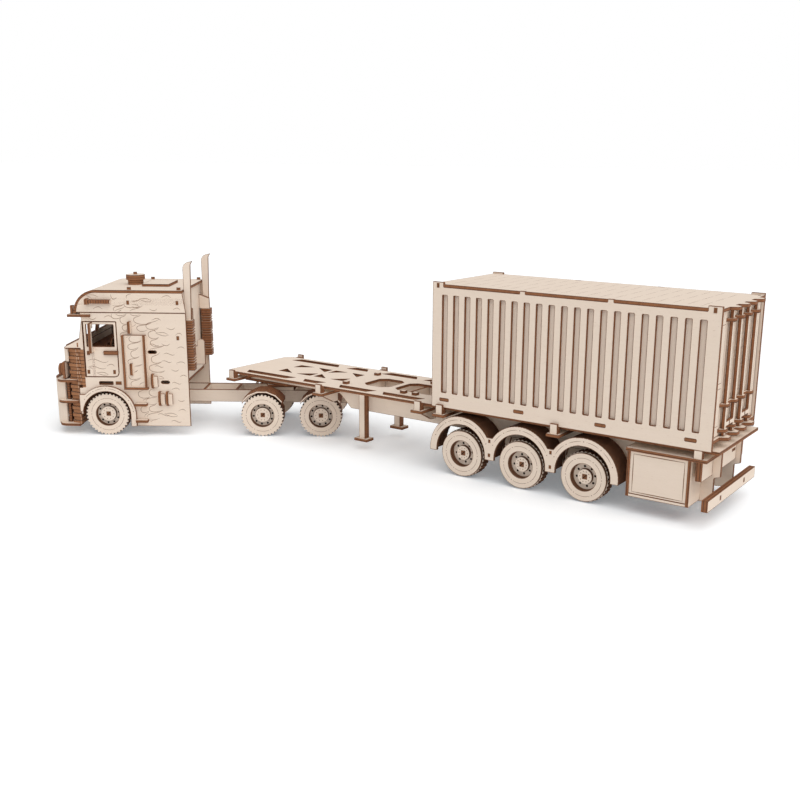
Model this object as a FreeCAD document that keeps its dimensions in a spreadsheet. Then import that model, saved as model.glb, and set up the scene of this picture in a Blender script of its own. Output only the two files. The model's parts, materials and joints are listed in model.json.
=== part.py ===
import FreeCAD
import math
import os
import Part
import Sketcher
from FreeCAD import Placement, Rotation, Vector

# Wooden model kit of an articulated container lorry, cut from 3 mm plywood, at 1:20.
# Millimetres. The trailer lies along X with its front towards +X, Y is to its left and Z is up.
# All pieces are drawn about the kingpin: the trailer's as it stands, the tractor's as if it pulled
# straight ahead. Each node's Placement then puts it in the row's frame, the tractor turned.

doc = FreeCAD.newDocument("ContainerLorry")
sheet = doc.addObject("Spreadsheet::Sheet", "Sizes")


# Numbers that stay bound to the spreadsheet

class Size:
    """A number with its spreadsheet formula, so that sums of sizes can be bound to properties."""

    def __init__(self, value, formula):
        self.value = float(value)
        self.formula = formula

    def __add__(self, other):
        return combine(self, "+", other)

    def __radd__(self, other):
        return combine(other, "+", self)

    def __sub__(self, other):
        return combine(self, "-", other)

    def __rsub__(self, other):
        return combine(other, "-", self)

    def __mul__(self, other):
        return combine(self, "*", other)

    def __rmul__(self, other):
        return combine(other, "*", self)

    def __truediv__(self, other):
        return combine(self, "/", other)

    def __neg__(self):
        return combine(0, "-", self)


def number(size):
    return size.value if isinstance(size, Size) else float(size)


def formula(size):
    return size.formula if isinstance(size, Size) else repr(float(size))


def combine(first, sign, second):
    a, b = number(first), number(second)
    if sign == "+":
        value = a + b
    elif sign == "-":
        value = a - b
    elif sign == "*":
        value = a * b
    else:
        value = a / b
    return Size(value, f"({formula(first)} {sign} {formula(second)})")


def size(alias, value, meaning):
    """One row of the spreadsheet: what it means, its number and its alias."""
    line = sheet.getUsedCells()
    cell = len(line) // 2 + 1
    sheet.set(f"A{cell}", meaning)
    sheet.set(f"B{cell}", str(value))
    sheet.setAlias(f"B{cell}", alias)
    return Size(value, f"Sizes.{alias}")


# Sizes: the sheet and its joints
ply = size("ply", 3, "thickness of the plywood sheet")
turn_gap = size("turn_gap", 0.4, "gap round a shaft or pin that turns")
leaf_gap = size("leaf_gap", 0.5, "gap round a door leaf")
tab_width = size("tab_width", 11, "width of the long tenons")

# Sizes: where the lorry stands in the row's frame
kingpin_x = size("kingpin_x", 161.2, "kingpin ahead of the row's origin")
kingpin_y = size("kingpin_y", -52.3, "kingpin to the left of the row's origin")
articulation = size("articulation", 34.5, "tractor's turn to the left against the trailer, degrees")

# Sizes: wheels
wheel_radius = size("wheel_radius", 25.5, "tyre radius over the lugs")
rim_radius = size("rim_radius", 14.2, "radius of the opening in the tyre")
rim_recess = size("rim_recess", 6, "depth of the rim disc behind the tyre's face")
hub_radius = size("hub_radius", 6.9, "radius of the hub disc")
tyre_plies = size("tyre_plies", 5, "sheets in one tyre")
lug_depth = size("lug_depth", 2, "depth of the gaps between lugs")
lug_width = size("lug_width", 2.2, "width of a lug")
shaft_radius = size("shaft_radius", 3, "radius of the round axles")
shaft_middle = size("shaft_middle", 20, "half the length of an axle's round middle")
tenon = size("tenon", 5, "side of the square axle end")
LUGS = 12
RIM_SIDES = 12
HUB_SIDES = 8

# Sizes: trailer chassis, x from the kingpin
trailer_front = size("trailer_front", 46, "front of the trailer ahead of the kingpin")
rail_rear = size("rail_rear", -565, "rear end of the trailer's rails")
deck_rear = size("deck_rear", -571, "rear edge of the deck")
deck_top = size("deck_top", 73, "height of the deck")
deck_half = size("deck_half", 56, "half the width of the deck")
rail_y = size("rail_y", 30, "outer face of the trailer's rails")
neck_bottom = size("neck_bottom", 60, "underside of the rails over the tractor")
rail_bottom = size("rail_bottom", 45, "underside of the rails behind the tractor")
neck_end = size("neck_end", -112, "where the rails start to deepen")
neck_slope = size("neck_slope", 16, "length over which the rails deepen")
bogie_x = size("bogie_x", -298, "front trailer axle")
bogie_pitch = size("bogie_pitch", 70.6, "distance between trailer axles")
trailer_wheel_y = size("trailer_wheel_y", 57, "outer face of the trailer's wheels")
kingpin_radius = size("kingpin_radius", 3, "radius of the kingpin")
kingpin_tip = size("kingpin_tip", 50, "height of the kingpin's lower end")
coupler_front = size("coupler_front", 40, "front of the coupler plate")
coupler_rear = size("coupler_rear", -30, "rear of the coupler plate")

# Sizes: trailer fenders
arch_z = size("arch_z", 28, "height of the fender arches' centre")
arch_outer = size("arch_outer", 38, "outer radius of the fender arches")
arch_inner = size("arch_inner", 30, "inner radius of the fender arches")
arch_bottom = size("arch_bottom", 25, "height of the fenders' lower ends")
ARCH_SIDES = 16
fender_face = size("fender_face", 60, "outer face of the fenders")

# Sizes: container, x from its front
box_front = size("box_front", -262, "front end of the container")
box_length = size("box_length", 303, "length of the container")
box_half = size("box_half", 61, "half the width of the container")
box_height = size("box_height", 131, "height of the container to its corner tabs")
corner_tab = size("corner_tab", 13, "length of the corner tabs")
corner_rise = size("corner_rise", 2, "corner tabs above the roof")
floor_rise = size("floor_rise", 7, "underside of the floor above the container's foot")
slot_first = size("slot_first", 11.8, "first slot behind the container's front")
slot_pitch = size("slot_pitch", 13.6, "distance between the slots")
slot_width = size("slot_width", 6.2, "width of a slot")
slot_foot = size("slot_foot", 16.2, "lower end of the slots")
slot_top = size("slot_top", 118, "upper end of the slots")
end_inset = size("end_inset", 5, "front wall behind the side sheets' front edge")
door_inset = size("door_inset", 3, "doors inside the side sheets' rear edge")
door_hinge_y = size("door_hinge_y", 55.3, "hinge line of the container's doors")
hinge_pin = size("hinge_pin", 0.9, "radius of the doors' hinge pins")
hinge_play = size("hinge_play", 0.3, "gap round a door's hinge pin")
rod_width = size("rod_width", 4.4, "width of a lock rod")
rod_outer = size("rod_outer", 34, "outer lock rod from the centre")
rod_inner = size("rod_inner", 10.5, "inner lock rod from the centre")
rod_gap = size("rod_gap", 1.6, "lock rods off the door")
sill_reach = size("sill_reach", 6, "lobes of floor and roof behind the side sheets")
SLOTS = 21
END_SLOTS = 8

# Sizes: tool boxes and rear end
toolbox_lead = size("toolbox_lead", 45.8, "front of the tool boxes behind the last axle")
toolbox_front = bogie_x - bogie_pitch * 2 - toolbox_lead
toolbox_rear = size("toolbox_rear", -547, "rear of the tool boxes")
toolbox_bottom = size("toolbox_bottom", 17, "underside of the tool boxes")
toolbox_face = size("toolbox_face", 60, "outer edge of the tool boxes")
shelf_top = size("shelf_top", 65, "top of the shelf over the tool box")
shelf_face = size("shelf_face", 62, "outer edge of the shelf")
bumper_half = size("bumper_half", 68, "half the width of the rear bumper")
bumper_bottom = size("bumper_bottom", 18.5, "underside of the rear bumper")
bumper_height = size("bumper_height", 11, "height of the rear bumper")

# Sizes: tractor, x from the kingpin
front_axle = size("front_axle", 206.4, "front axle ahead of the kingpin")
drive_front = size("drive_front", 21, "front driven axle")
drive_rear = size("drive_rear", -49, "rear driven axle")
tractor_wheel_y = size("tractor_wheel_y", 60, "outer face of the tractor's wheels")
stub_radius = size("stub_radius", 2.4, "radius of the steered wheels' stub axles")
tyre_step = size("tyre_step", 14, "distance between the two tyres of a twin wheel")
guard_radius = size("guard_radius", 29.8, "outer radius of the guards over the driven wheels")
twin_plies = size("twin_plies", 4, "sheets in one tyre of a twin wheel")
frame_y = size("frame_y", 20, "outer face of the tractor's rails")
frame_top = size("frame_top", 48, "top of the tractor's rails")
frame_bottom = size("frame_bottom", 33, "underside of the tractor's rails")
frame_rear = size("frame_rear", -84, "rear end of the tractor's rails")
fifth_top = size("fifth_top", 56.6, "top of the fifth wheel")

# Sizes: cab, x from the front axle where the name starts with cab
cab_half = size("cab_half", 60, "half the width of the cab")
cab_bottom = size("cab_bottom", 11.4, "underside of the side skirts")
cab_rear = size("cab_rear", -99, "rear edge of the cab's sides")
cab_joint = size("cab_joint", 147.8, "joint between the cab's sides and the roof's")
cab_front = size("cab_front", 27, "front edge of the cab's sides")
cab_floor_z = size("cab_floor_z", 60, "underside of the cab floor")
cab_back = size("cab_back", -92, "rear face of the cab's back wall")
roof_top = size("roof_top", 174.4, "top of the roof")
roof_rear = size("roof_rear", -95.7, "rear edge of the roof")
roof_bend = size("roof_bend", 4.5, "where the roof starts to curve down")
roof_curve = size("roof_curve", 27.5, "outer radius of the curved roof front")
wheel_arch = size("wheel_arch", 29, "radius of the cab's wheel arch")
flare_width = size("flare_width", 6, "width of the arch flare")
cab_door_front = size("cab_door_front", 23.2, "front edge of the cab door")
cab_door_rear = size("cab_door_rear", -17, "rear edge of the cab door")
cab_door_top = size("cab_door_top", 137.5, "top of the cab door")
cab_door_bottom = size("cab_door_bottom", 71, "bottom of the cab door")
door_hinge = size("door_hinge", 2.3, "cab door's hinge pin behind the opening's front edge")
window_sill = size("window_sill", 107.5, "sill of the side window")
window_post = size("window_post", 3, "frame round the side window")
nose_front = size("nose_front", 48, "front of the grille")
nose_top = size("nose_top", 104, "top of the grille")
nose_bottom = size("nose_bottom", 12, "underside of the grille")
nose_corner = size("nose_corner", 14, "corner radius of the grille")
bar_front = size("bar_front", 61, "front of the bull bar")
bar_top = size("bar_top", 67, "top of the bull bar")
visor_front = size("visor_front", 39, "front edge of the sun visor")
visor_bottom = size("visor_bottom", 142.8, "underside of the sun visor")
stack_x = size("stack_x", -100, "centre of the exhaust stacks")
muffler_half = size("muffler_half", 5.8, "half the width of a muffler's wide sheets")
stack_y = size("stack_y", 50.3, "exhaust stacks from the centre")
muffler_bottom = size("muffler_bottom", 79, "underside of the mufflers")
muffler_top = size("muffler_top", 139, "top of the mufflers")
pipe_width = size("pipe_width", 7.4, "width of the exhaust pipes")
pipe_top = size("pipe_top", 201, "height where the pipes bend back")
MUFFLER_STEPS = 4
NOSE_LAYERS = 21

doc.recompute()


# Drawing helpers

TURN = {"X": Rotation(Vector(1, 1, 1), 120), "Y": Rotation(Vector(1, 0, 0), 90), "Z": Rotation()}
ALONG = {"X": Vector(1, 0, 0), "Y": Vector(0, 1, 0), "Z": Vector(0, 0, 1)}


def bind(feature, name, value):
    """Set a property to a size, and keep it bound when the size comes from the spreadsheet."""
    feature.setExpression(name, formula(value))


def block(x, y, z):
    """A box between two values on each axis."""
    box = doc.addObject("Part::Box", "Block")
    for name, span in (("Length", x), ("Width", y), ("Height", z)):
        bind(box, name, combine(span[1], "-", span[0]))
    for name, span in (("x", x), ("y", y), ("z", z)):
        bind(box, f"Placement.Base.{name}", span[0])
    return box


def disc(axis, centre, radius, span):
    """A cylinder along an axis; the centre is given by the two other coordinates, in order."""
    rod = doc.addObject("Part::Cylinder", "Disc")
    bind(rod, "Radius", radius)
    bind(rod, "Height", combine(span[1], "-", span[0]))
    rod.Placement = Placement(Vector(), {"X": Rotation(Vector(0, 1, 0), 90),
                                         "Y": Rotation(Vector(1, 0, 0), -90),
                                         "Z": Rotation()}[axis])
    others = [name for name in "XYZ" if name != axis]
    bind(rod, f"Placement.Base.{axis.lower()}", span[0])
    for name, value in zip(others, centre):
        bind(rod, f"Placement.Base.{name.lower()}", value)
    return rod


def prism(axis, sides, centre, radius, span, turn=0):
    """A cylinder with flat sides that touch the radius, one of them facing down at no turn."""
    rod = doc.addObject("Part::Prism", "Prism")
    rod.Polygon = sides
    bind(rod, "Circumradius", radius / math.cos(math.pi / sides))
    bind(rod, "Height", combine(span[1], "-", span[0]))
    lie = {"X": Rotation(Vector(0, 1, 0), 90), "Y": Rotation(Vector(1, 0, 0), -90), "Z": Rotation()}[axis]
    rod.Placement = Placement(Vector(), lie.multiply(Rotation(Vector(0, 0, 1), 180 / sides + turn)))
    others = [name for name in "XYZ" if name != axis]
    bind(rod, f"Placement.Base.{axis.lower()}", span[0])
    for name, value in zip(others, centre):
        bind(rod, f"Placement.Base.{name.lower()}", value)
    return rod


def bend(centre, radius, first, last, steps=2):
    """Points on an arc round a centre, from one angle to another in degrees."""
    points = []
    for index in range(steps + 1):
        angle = math.radians(first + (last - first) * index / steps)
        points.append((centre[0] + radius * math.cos(angle), centre[1] + radius * math.sin(angle)))
    return points


def arc_between(start, end, radius):
    """Arc from start to end, counterclockwise for a positive radius and clockwise for a negative."""
    (ax, ay), (bx, by) = start, end
    half = math.hypot(bx - ax, by - ay) / 2
    rise = math.copysign(math.sqrt(max(radius * radius - half * half, 0)), radius)
    cx = (ax + bx) / 2 - (by - ay) / (2 * half) * rise
    cy = (ay + by) / 2 + (bx - ax) / (2 * half) * rise
    first = math.atan2(ay - cy, ax - cx)
    last = math.atan2(by - cy, bx - cx)
    if radius < 0:
        first, last = last, first
    circle = Part.Circle(Vector(cx, cy, 0), Vector(0, 0, 1), abs(radius))
    return Part.ArcOfCircle(circle, first, last)


def draw_loop(sketch, points):
    """Closed loop; a point's third value is the radius of an arc that leads on to the next point."""
    flat = [(number(point[0]), number(point[1])) for point in points]
    count = len(points)
    first = sketch.GeometryCount
    ends = []
    for index, point in enumerate(points):
        start, end = flat[index], flat[(index + 1) % count]
        if len(point) > 2:
            radius = number(point[2])
            sketch.addGeometry(arc_between(start, end, radius), False)
            ends.append((1, 2) if radius > 0 else (2, 1))
        else:
            sketch.addGeometry(Part.LineSegment(Vector(*start, 0), Vector(*end, 0)), False)
            ends.append((1, 2))
    for index in range(count):
        follower = (index + 1) % count
        sketch.addConstraint(Sketcher.Constraint(
            "Coincident", first + index, ends[index][1], first + follower, ends[follower][0]))
    for index, point in enumerate(points):
        for side, kind in ((0, "DistanceX"), (1, "DistanceY")):
            rule = sketch.addConstraint(Sketcher.Constraint(
                kind, -1, 1, first + index, ends[index][0], flat[index][side]))
            if isinstance(point[side], Size):
                sketch.setExpression(f"Constraints[{rule}]", formula(point[side]))
        if len(point) > 2:
            rule = sketch.addConstraint(Sketcher.Constraint(
                "Radius", first + index, abs(number(point[2]))))
            if isinstance(point[2], Size):
                positive = point[2] if number(point[2]) > 0 else -point[2]
                sketch.setExpression(f"Constraints[{rule}]", formula(positive))


def plate(axis, outline, span, holes=()):
    """A sheet cut to an outline: drawn in (y, z) for axis X, (x, z) for Y or (x, y) for Z."""
    sketch = doc.addObject("Sketcher::SketchObject", "Outline")
    sketch.Placement = Placement(Vector(), TURN[axis])
    bind(sketch, f"Placement.Base.{axis.lower()}", span[0])
    for loop in (outline, *holes):
        draw_loop(sketch, loop)
    solid = doc.addObject("Part::Extrusion", "Plate")
    solid.Base = sketch
    solid.DirMode = "Custom"
    solid.Dir = ALONG[axis]
    solid.Solid = True
    bind(solid, "LengthFwd", combine(span[1], "-", span[0]))
    return solid


def rectangle(across, up):
    return [(across[0], up[0]), (across[1], up[0]), (across[1], up[1]), (across[0], up[1])]


def join(*features):
    if len(features) == 1:
        return features[0]
    fuse = doc.addObject("Part::MultiFuse", "Join")
    fuse.Shapes = list(features)
    fuse.Refine = True
    return fuse


def apart(*features):
    """Solids that do not touch, kept together as one piece."""
    group = doc.addObject("Part::Compound", "Group")
    group.Links = list(features)
    return group


def cut(base, *tools):
    result = doc.addObject("Part::Cut", "Cut")
    result.Base = base
    result.Tool = tools[0] if len(tools) == 1 else apart(*tools)
    return result


def overlap(first, second):
    result = doc.addObject("Part::Common", "Overlap")
    result.Base = first
    result.Tool = second
    return result


def mirrored(feature):
    """The same piece on the other side of the lorry's centre plane."""
    twin = doc.addObject("Part::Mirroring", "Mirrored")
    twin.Source = feature
    twin.Base = Vector()
    twin.Normal = Vector(0, 1, 0)
    return twin


def both(feature):
    return apart(feature, mirrored(feature))


def placed(feature, x=0, y=0, z=0):
    """The same shape again at another place."""
    link = doc.addObject("App::Link", "Again")
    link.LinkedObject = feature
    for name, value in (("x", x), ("y", y), ("z", z)):
        bind(link, f"LinkPlacement.Base.{name}", value)
    return link


PARTS = []


def node(label, feature, turned=False):
    """A finished sub-part, put where it belongs in the row's frame."""
    piece = doc.addObject("Part::Compound", "Piece")
    piece.Links = [feature]
    piece.Label = label
    bind(piece, "Placement.Base.x", kingpin_x)
    bind(piece, "Placement.Base.y", kingpin_y)
    if turned:
        piece.Placement = Placement(Vector(), Rotation(Vector(0, 0, 1), 30))
        bind(piece, "Placement.Rotation.Angle", articulation)
        bind(piece, "Placement.Base.x", kingpin_x)
        bind(piece, "Placement.Base.y", kingpin_y)
    PARTS.append(piece)
    return piece


# Wheels, drawn about their own axle with the outer face at y = 0

def lugs(inner, outer):
    """The lugs round the tread, one of them straight down on the floor."""
    foot = wheel_radius - lug_depth * 2
    blocks = []
    for index in range(LUGS):
        turn = 360 / LUGS * index
        angle = math.radians(turn)
        lug = block((-lug_width / 2, lug_width / 2), (inner, outer), (foot, wheel_radius))
        lug.Placement.Rotation = Rotation(Vector(0, 1, 0), turn)
        bind(lug, "Placement.Base.x", foot * math.sin(angle) - lug_width * (math.cos(angle) / 2))
        bind(lug, "Placement.Base.z", foot * math.cos(angle) + lug_width * (math.sin(angle) / 2))
        blocks.append(lug)
    return blocks


def wheel(plies, ring):
    """A tyre of glued sheets round a sunk rim; a trailer tyre has a smooth outer ring."""
    inner = -(ply * plies)
    body = prism("Y", LUGS, (0, 0), wheel_radius - lug_depth, (inner, 0), 180 / LUGS)
    tyre = join(body, *lugs(inner, -ply if ring else 0))
    hollow = prism("Y", RIM_SIDES, (0, 0), rim_radius, (-rim_recess, 1))
    hub = prism("Y", HUB_SIDES, (0, 0), hub_radius, (-rim_recess - 1, ply / 2 - rim_recess))
    end = block((-tenon / 2, tenon / 2), (-rim_recess - 1, ply - rim_recess), (-tenon / 2, tenon / 2))
    return join(cut(tyre, hollow), hub, end)


def inner_wheel(plies):
    """The hidden inner tyre of a twin wheel, smooth and closed."""
    return apart(prism("Y", RIM_SIDES, (0, 0), wheel_radius - lug_depth, (-(ply * plies), 0)))


def wheel_pair(x, shaft_half, *wheels):
    """A shaft across the vehicle with the same wheels at both ends."""
    core = shaft_radius * 0.9
    solids = [disc("Y", (x, wheel_radius), shaft_radius, (-shaft_middle, shaft_middle)),
              prism("Y", 8, (x, wheel_radius), core, (-shaft_half, shaft_half))]
    for shape, y in wheels:
        solids.append(placed(shape, x, y, wheel_radius))
        solids.append(placed(mirrored(shape), x, -y, wheel_radius))
    return join(*solids)


def build_trailer_axles():
    trailer_wheel = wheel(tyre_plies, True)
    half = trailer_wheel_y - rim_recess
    for index in range(3):
        x = bogie_x - bogie_pitch * index
        node(f"trailer_axle_{index + 1}", wheel_pair(x, half, (trailer_wheel, trailer_wheel_y)))


def build_drive_axles():
    outer = wheel(twin_plies, False)
    inner = inner_wheel(twin_plies)
    half = tractor_wheel_y - rim_recess
    for label, x in (("front", drive_front), ("rear", drive_rear)):
        pair = wheel_pair(x, half, (outer, tractor_wheel_y), (inner, tractor_wheel_y - tyre_step))
        node(f"drive_axle_{label}", pair, True)


# Trailer chassis

def build_trailer_frame():
    rear_low = toolbox_bottom - 2
    outline = [
        (trailer_front, neck_bottom), (trailer_front, deck_top - ply),
        (rail_rear, deck_top - ply), (rail_rear, 42), (rail_rear + 6, 40), (rail_rear + 6, 26),
        (rail_rear + 3, 26), (rail_rear + 3, bumper_bottom), (rail_rear + 20, rear_low),
        (toolbox_front, rear_low), (toolbox_front + 8, rail_bottom),
        (neck_end - neck_slope, rail_bottom), (neck_end, neck_bottom),
    ]
    plain = plate("Y", outline, (rail_y - ply, rail_y))
    hangers = []
    holes = []
    for index in range(3):
        x = bogie_x - bogie_pitch * index
        foot = wheel_radius - 8
        hangers.append(plate("Y", [
            (x - 16, rail_bottom + 2), (x - 9, foot), (x + 9, foot), (x + 16, rail_bottom + 2),
        ], (rail_y - ply, rail_y)))
        holes.append(prism("Y", 6, (x, wheel_radius), shaft_radius + turn_gap,
                           (rail_y - ply - 1, rail_y + 1)))
    rail = cut(join(plain, *hangers), *holes)
    node("trailer_rails", both(rail))

    inside = rail_y - ply
    members = []
    for x, bottom in ((trailer_front - 6, neck_bottom), (-60, neck_bottom),
                      (neck_end - neck_slope - 4, rail_bottom), (-196, rail_bottom),
                      (-259, rail_bottom), (bogie_x - bogie_pitch / 2, rail_bottom),
                      (bogie_x - bogie_pitch * 1.5, rail_bottom), (toolbox_front + 4, rail_bottom)):
        members.append(block((x - ply, x), (-inside, inside), (bottom, deck_top - ply)))
    node("trailer_cross_members", apart(*members))


def build_deck():
    half = deck_half
    rail = rail_y
    thick = (deck_top - ply, deck_top)
    holes = []
    for front, rear in ((-8, -58), (-64, -108)):
        middle = (front + rear) / 2
        holes.append([(front, 6), (front, 21), (middle + 4, 21)])
        holes.append([(rear, 6), (middle - 4, 21), (rear, 21)])
        holes.append([(front, -6), (middle + 4, -21), (front, -21)])
        holes.append([(rear, -6), (rear, -21), (middle - 4, -21)])
    for front, rear in ((-136, -172), (-180, -250), (-280, -326), (-342, -396), (-412, -470),
                        (-490, -545)):
        holes.append([(front, -14), (front, 14), (front - 8, 21), (rear + 8, 21),
                      (rear, 14), (rear, -14), (rear + 8, -21), (front - 8, -21)])
    for front, rear in ((24, -52), (-66, -98), (-120, -172), (-182, -238)):
        for side in (1, -1):
            holes.append([(front, side * 39), (rear, side * 39), (rear + 7, side * 50),
                          (front - 7, side * 50)][::side])
    corner = 8
    outline = [(trailer_front, half - corner), (trailer_front - corner, half),
               (deck_rear, half), (deck_rear, -half),
               (trailer_front - corner, -half), (trailer_front, corner - half)]
    openings = [plate("Z", hole, (deck_top - ply - 1, deck_top + 1)) for hole in holes]
    deck = cut(plate("Z", outline, thick), *openings)
    knobs = []
    for x in (-121, -203, -219):
        for side in (1, -1):
            y = (rail * side - 3, rail * side + 3)
            knobs.append(block((x - 3, x + 3), y, (deck_top - 1, deck_top + ply)))
    node("trailer_deck", join(deck, *knobs))


def build_coupler():
    pad = block((coupler_rear, coupler_front), (-rail_y, rail_y), (neck_bottom - ply, neck_bottom))
    pin = disc("Z", (0, 0), kingpin_radius, (kingpin_tip, neck_bottom - ply))
    foot = prism("Z", 8, (0, 0), kingpin_radius + 1.2, (kingpin_tip, kingpin_tip + 1.6))
    node("kingpin_plate", join(pad, pin, foot))


def build_bolsters():
    """Arms that carry a container's side sheets, with a stop outside each of them."""
    arms = []
    top = deck_top - ply - 4
    for x, braced in ((30, False), (-107, True), (-245, True), (bogie_x + 25, False), (bogie_x - 110, False)):
        arm = block((x - 7, x + 7), (rail_y, box_half + 5), (top - ply, top))
        seat = block((x - 4, x + 4), (box_half - 4, box_half), (top, deck_top))
        stop = block((x - 4, x + 4), (box_half + 0.2, box_half + ply), (top, deck_top + ply))
        arm = join(arm, seat, stop)
        if braced:
            gusset = plate("X", [(rail_y, top - ply - 12), (rail_y + 8, top - ply - 12),
                                 (box_half, top - ply), (rail_y, top - ply)],
                           (x - ply / 2, x + ply / 2))
            arm = join(arm, gusset)
        arms.append(arm)
    node("container_bolsters", apart(*arms, *[mirrored(arm) for arm in arms]))


def arches(radius, span):
    return join(*[prism("Y", ARCH_SIDES, (bogie_x - bogie_pitch * index, arch_z), radius, span)
                  for index in range(3)])


def build_fenders():
    front = bogie_x + arch_outer + 5
    rear = bogie_x - bogie_pitch * 2 - arch_outer - 5
    above = (arch_bottom, arch_z + arch_outer + 5)
    shell_inner = arch_outer - ply
    outer = overlap(arches(arch_outer, (rail_y + 3.4, fender_face)),
                    block((rear, front), (rail_y, fender_face + 1), above))
    under = join(arches(shell_inner, (rail_y, fender_face - ply)),
                 *[block((bogie_x - bogie_pitch * index - shell_inner,
                          bogie_x - bogie_pitch * index + shell_inner),
                         (rail_y, fender_face - ply), (arch_bottom - 5, arch_z))
                   for index in range(3)])
    opening = join(arches(arch_inner, (rail_y, fender_face + 1)),
                   *[block((bogie_x - bogie_pitch * index - arch_inner,
                            bogie_x - bogie_pitch * index + arch_inner),
                           (rail_y, fender_face + 1), (arch_bottom - 5, arch_z))
                     for index in range(3)])
    carriers = []
    for index in range(2):
        x = bogie_x - bogie_pitch * (index + 0.5)
        carriers.append(block((x - ply / 2, x + ply / 2), (rail_y, fender_face - ply), (arch_bottom, 50)))
        carriers.append(block((x - ply / 2, x + ply / 2), (fender_face - ply, fender_face), (43, 50)))
    fender = join(cut(outer, under, opening), *carriers)
    node("trailer_fender_left", fender)
    node("trailer_fender_right", mirrored(fender))


def build_toolboxes():
    top = shelf_top - ply
    x = (toolbox_rear, toolbox_front)
    walls = cut(block(x, (rail_y, toolbox_face), (toolbox_bottom, top)),
                block((toolbox_rear + ply, toolbox_front - ply), (rail_y + ply, toolbox_face + 1),
                      (toolbox_bottom + ply, top + 1)))
    door = block((toolbox_rear + ply, toolbox_front - ply),
                 (toolbox_face - ply - 0.6, toolbox_face - 0.6), (toolbox_bottom + ply, top))
    shelf = block((rail_rear + 3, toolbox_front + 1), (rail_y, shelf_face), (top, shelf_top))
    seat = block((-557, -549), (box_half - 5, box_half), (shelf_top, deck_top))
    lamp = block((rail_rear + 8, rail_rear + 8 + ply * 2), (rail_y, 58), (43, top))
    box = join(walls, door, shelf, seat, lamp)
    node("toolbox_left", box)
    node("toolbox_right", mirrored(box))


def build_rear_end():
    top = bumper_bottom + bumper_height
    rear = rail_rear - ply
    bar = block((rear, rear + ply * 2), (-bumper_half, bumper_half), (bumper_bottom, top))
    board = block((rail_rear + 5, rail_rear + 5 + ply), (ply - rail_y, rail_y - ply), (46, deck_top - ply))
    node("rear_bumper", apart(bar, board))


def build_landing_legs():
    x = -150
    post = block((x - 4, x + 4), (rail_y, rail_y + 8), (14, deck_top - ply))
    foot = block((x - 9, x + 9), (rail_y - 2, rail_y + 11), (14 - ply, 14))
    node("landing_legs", both(join(post, foot)))


# Container

def box_x(distance):
    """A place on the trailer, from its distance behind the container's front end."""
    return box_front - distance


def hinge_holes(x, span):
    """The holes for the pins of the container's two doors."""
    return [prism("Z", 6, (x, y), hinge_pin + hinge_play, span) for y in (door_hinge_y, -door_hinge_y)]


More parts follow.
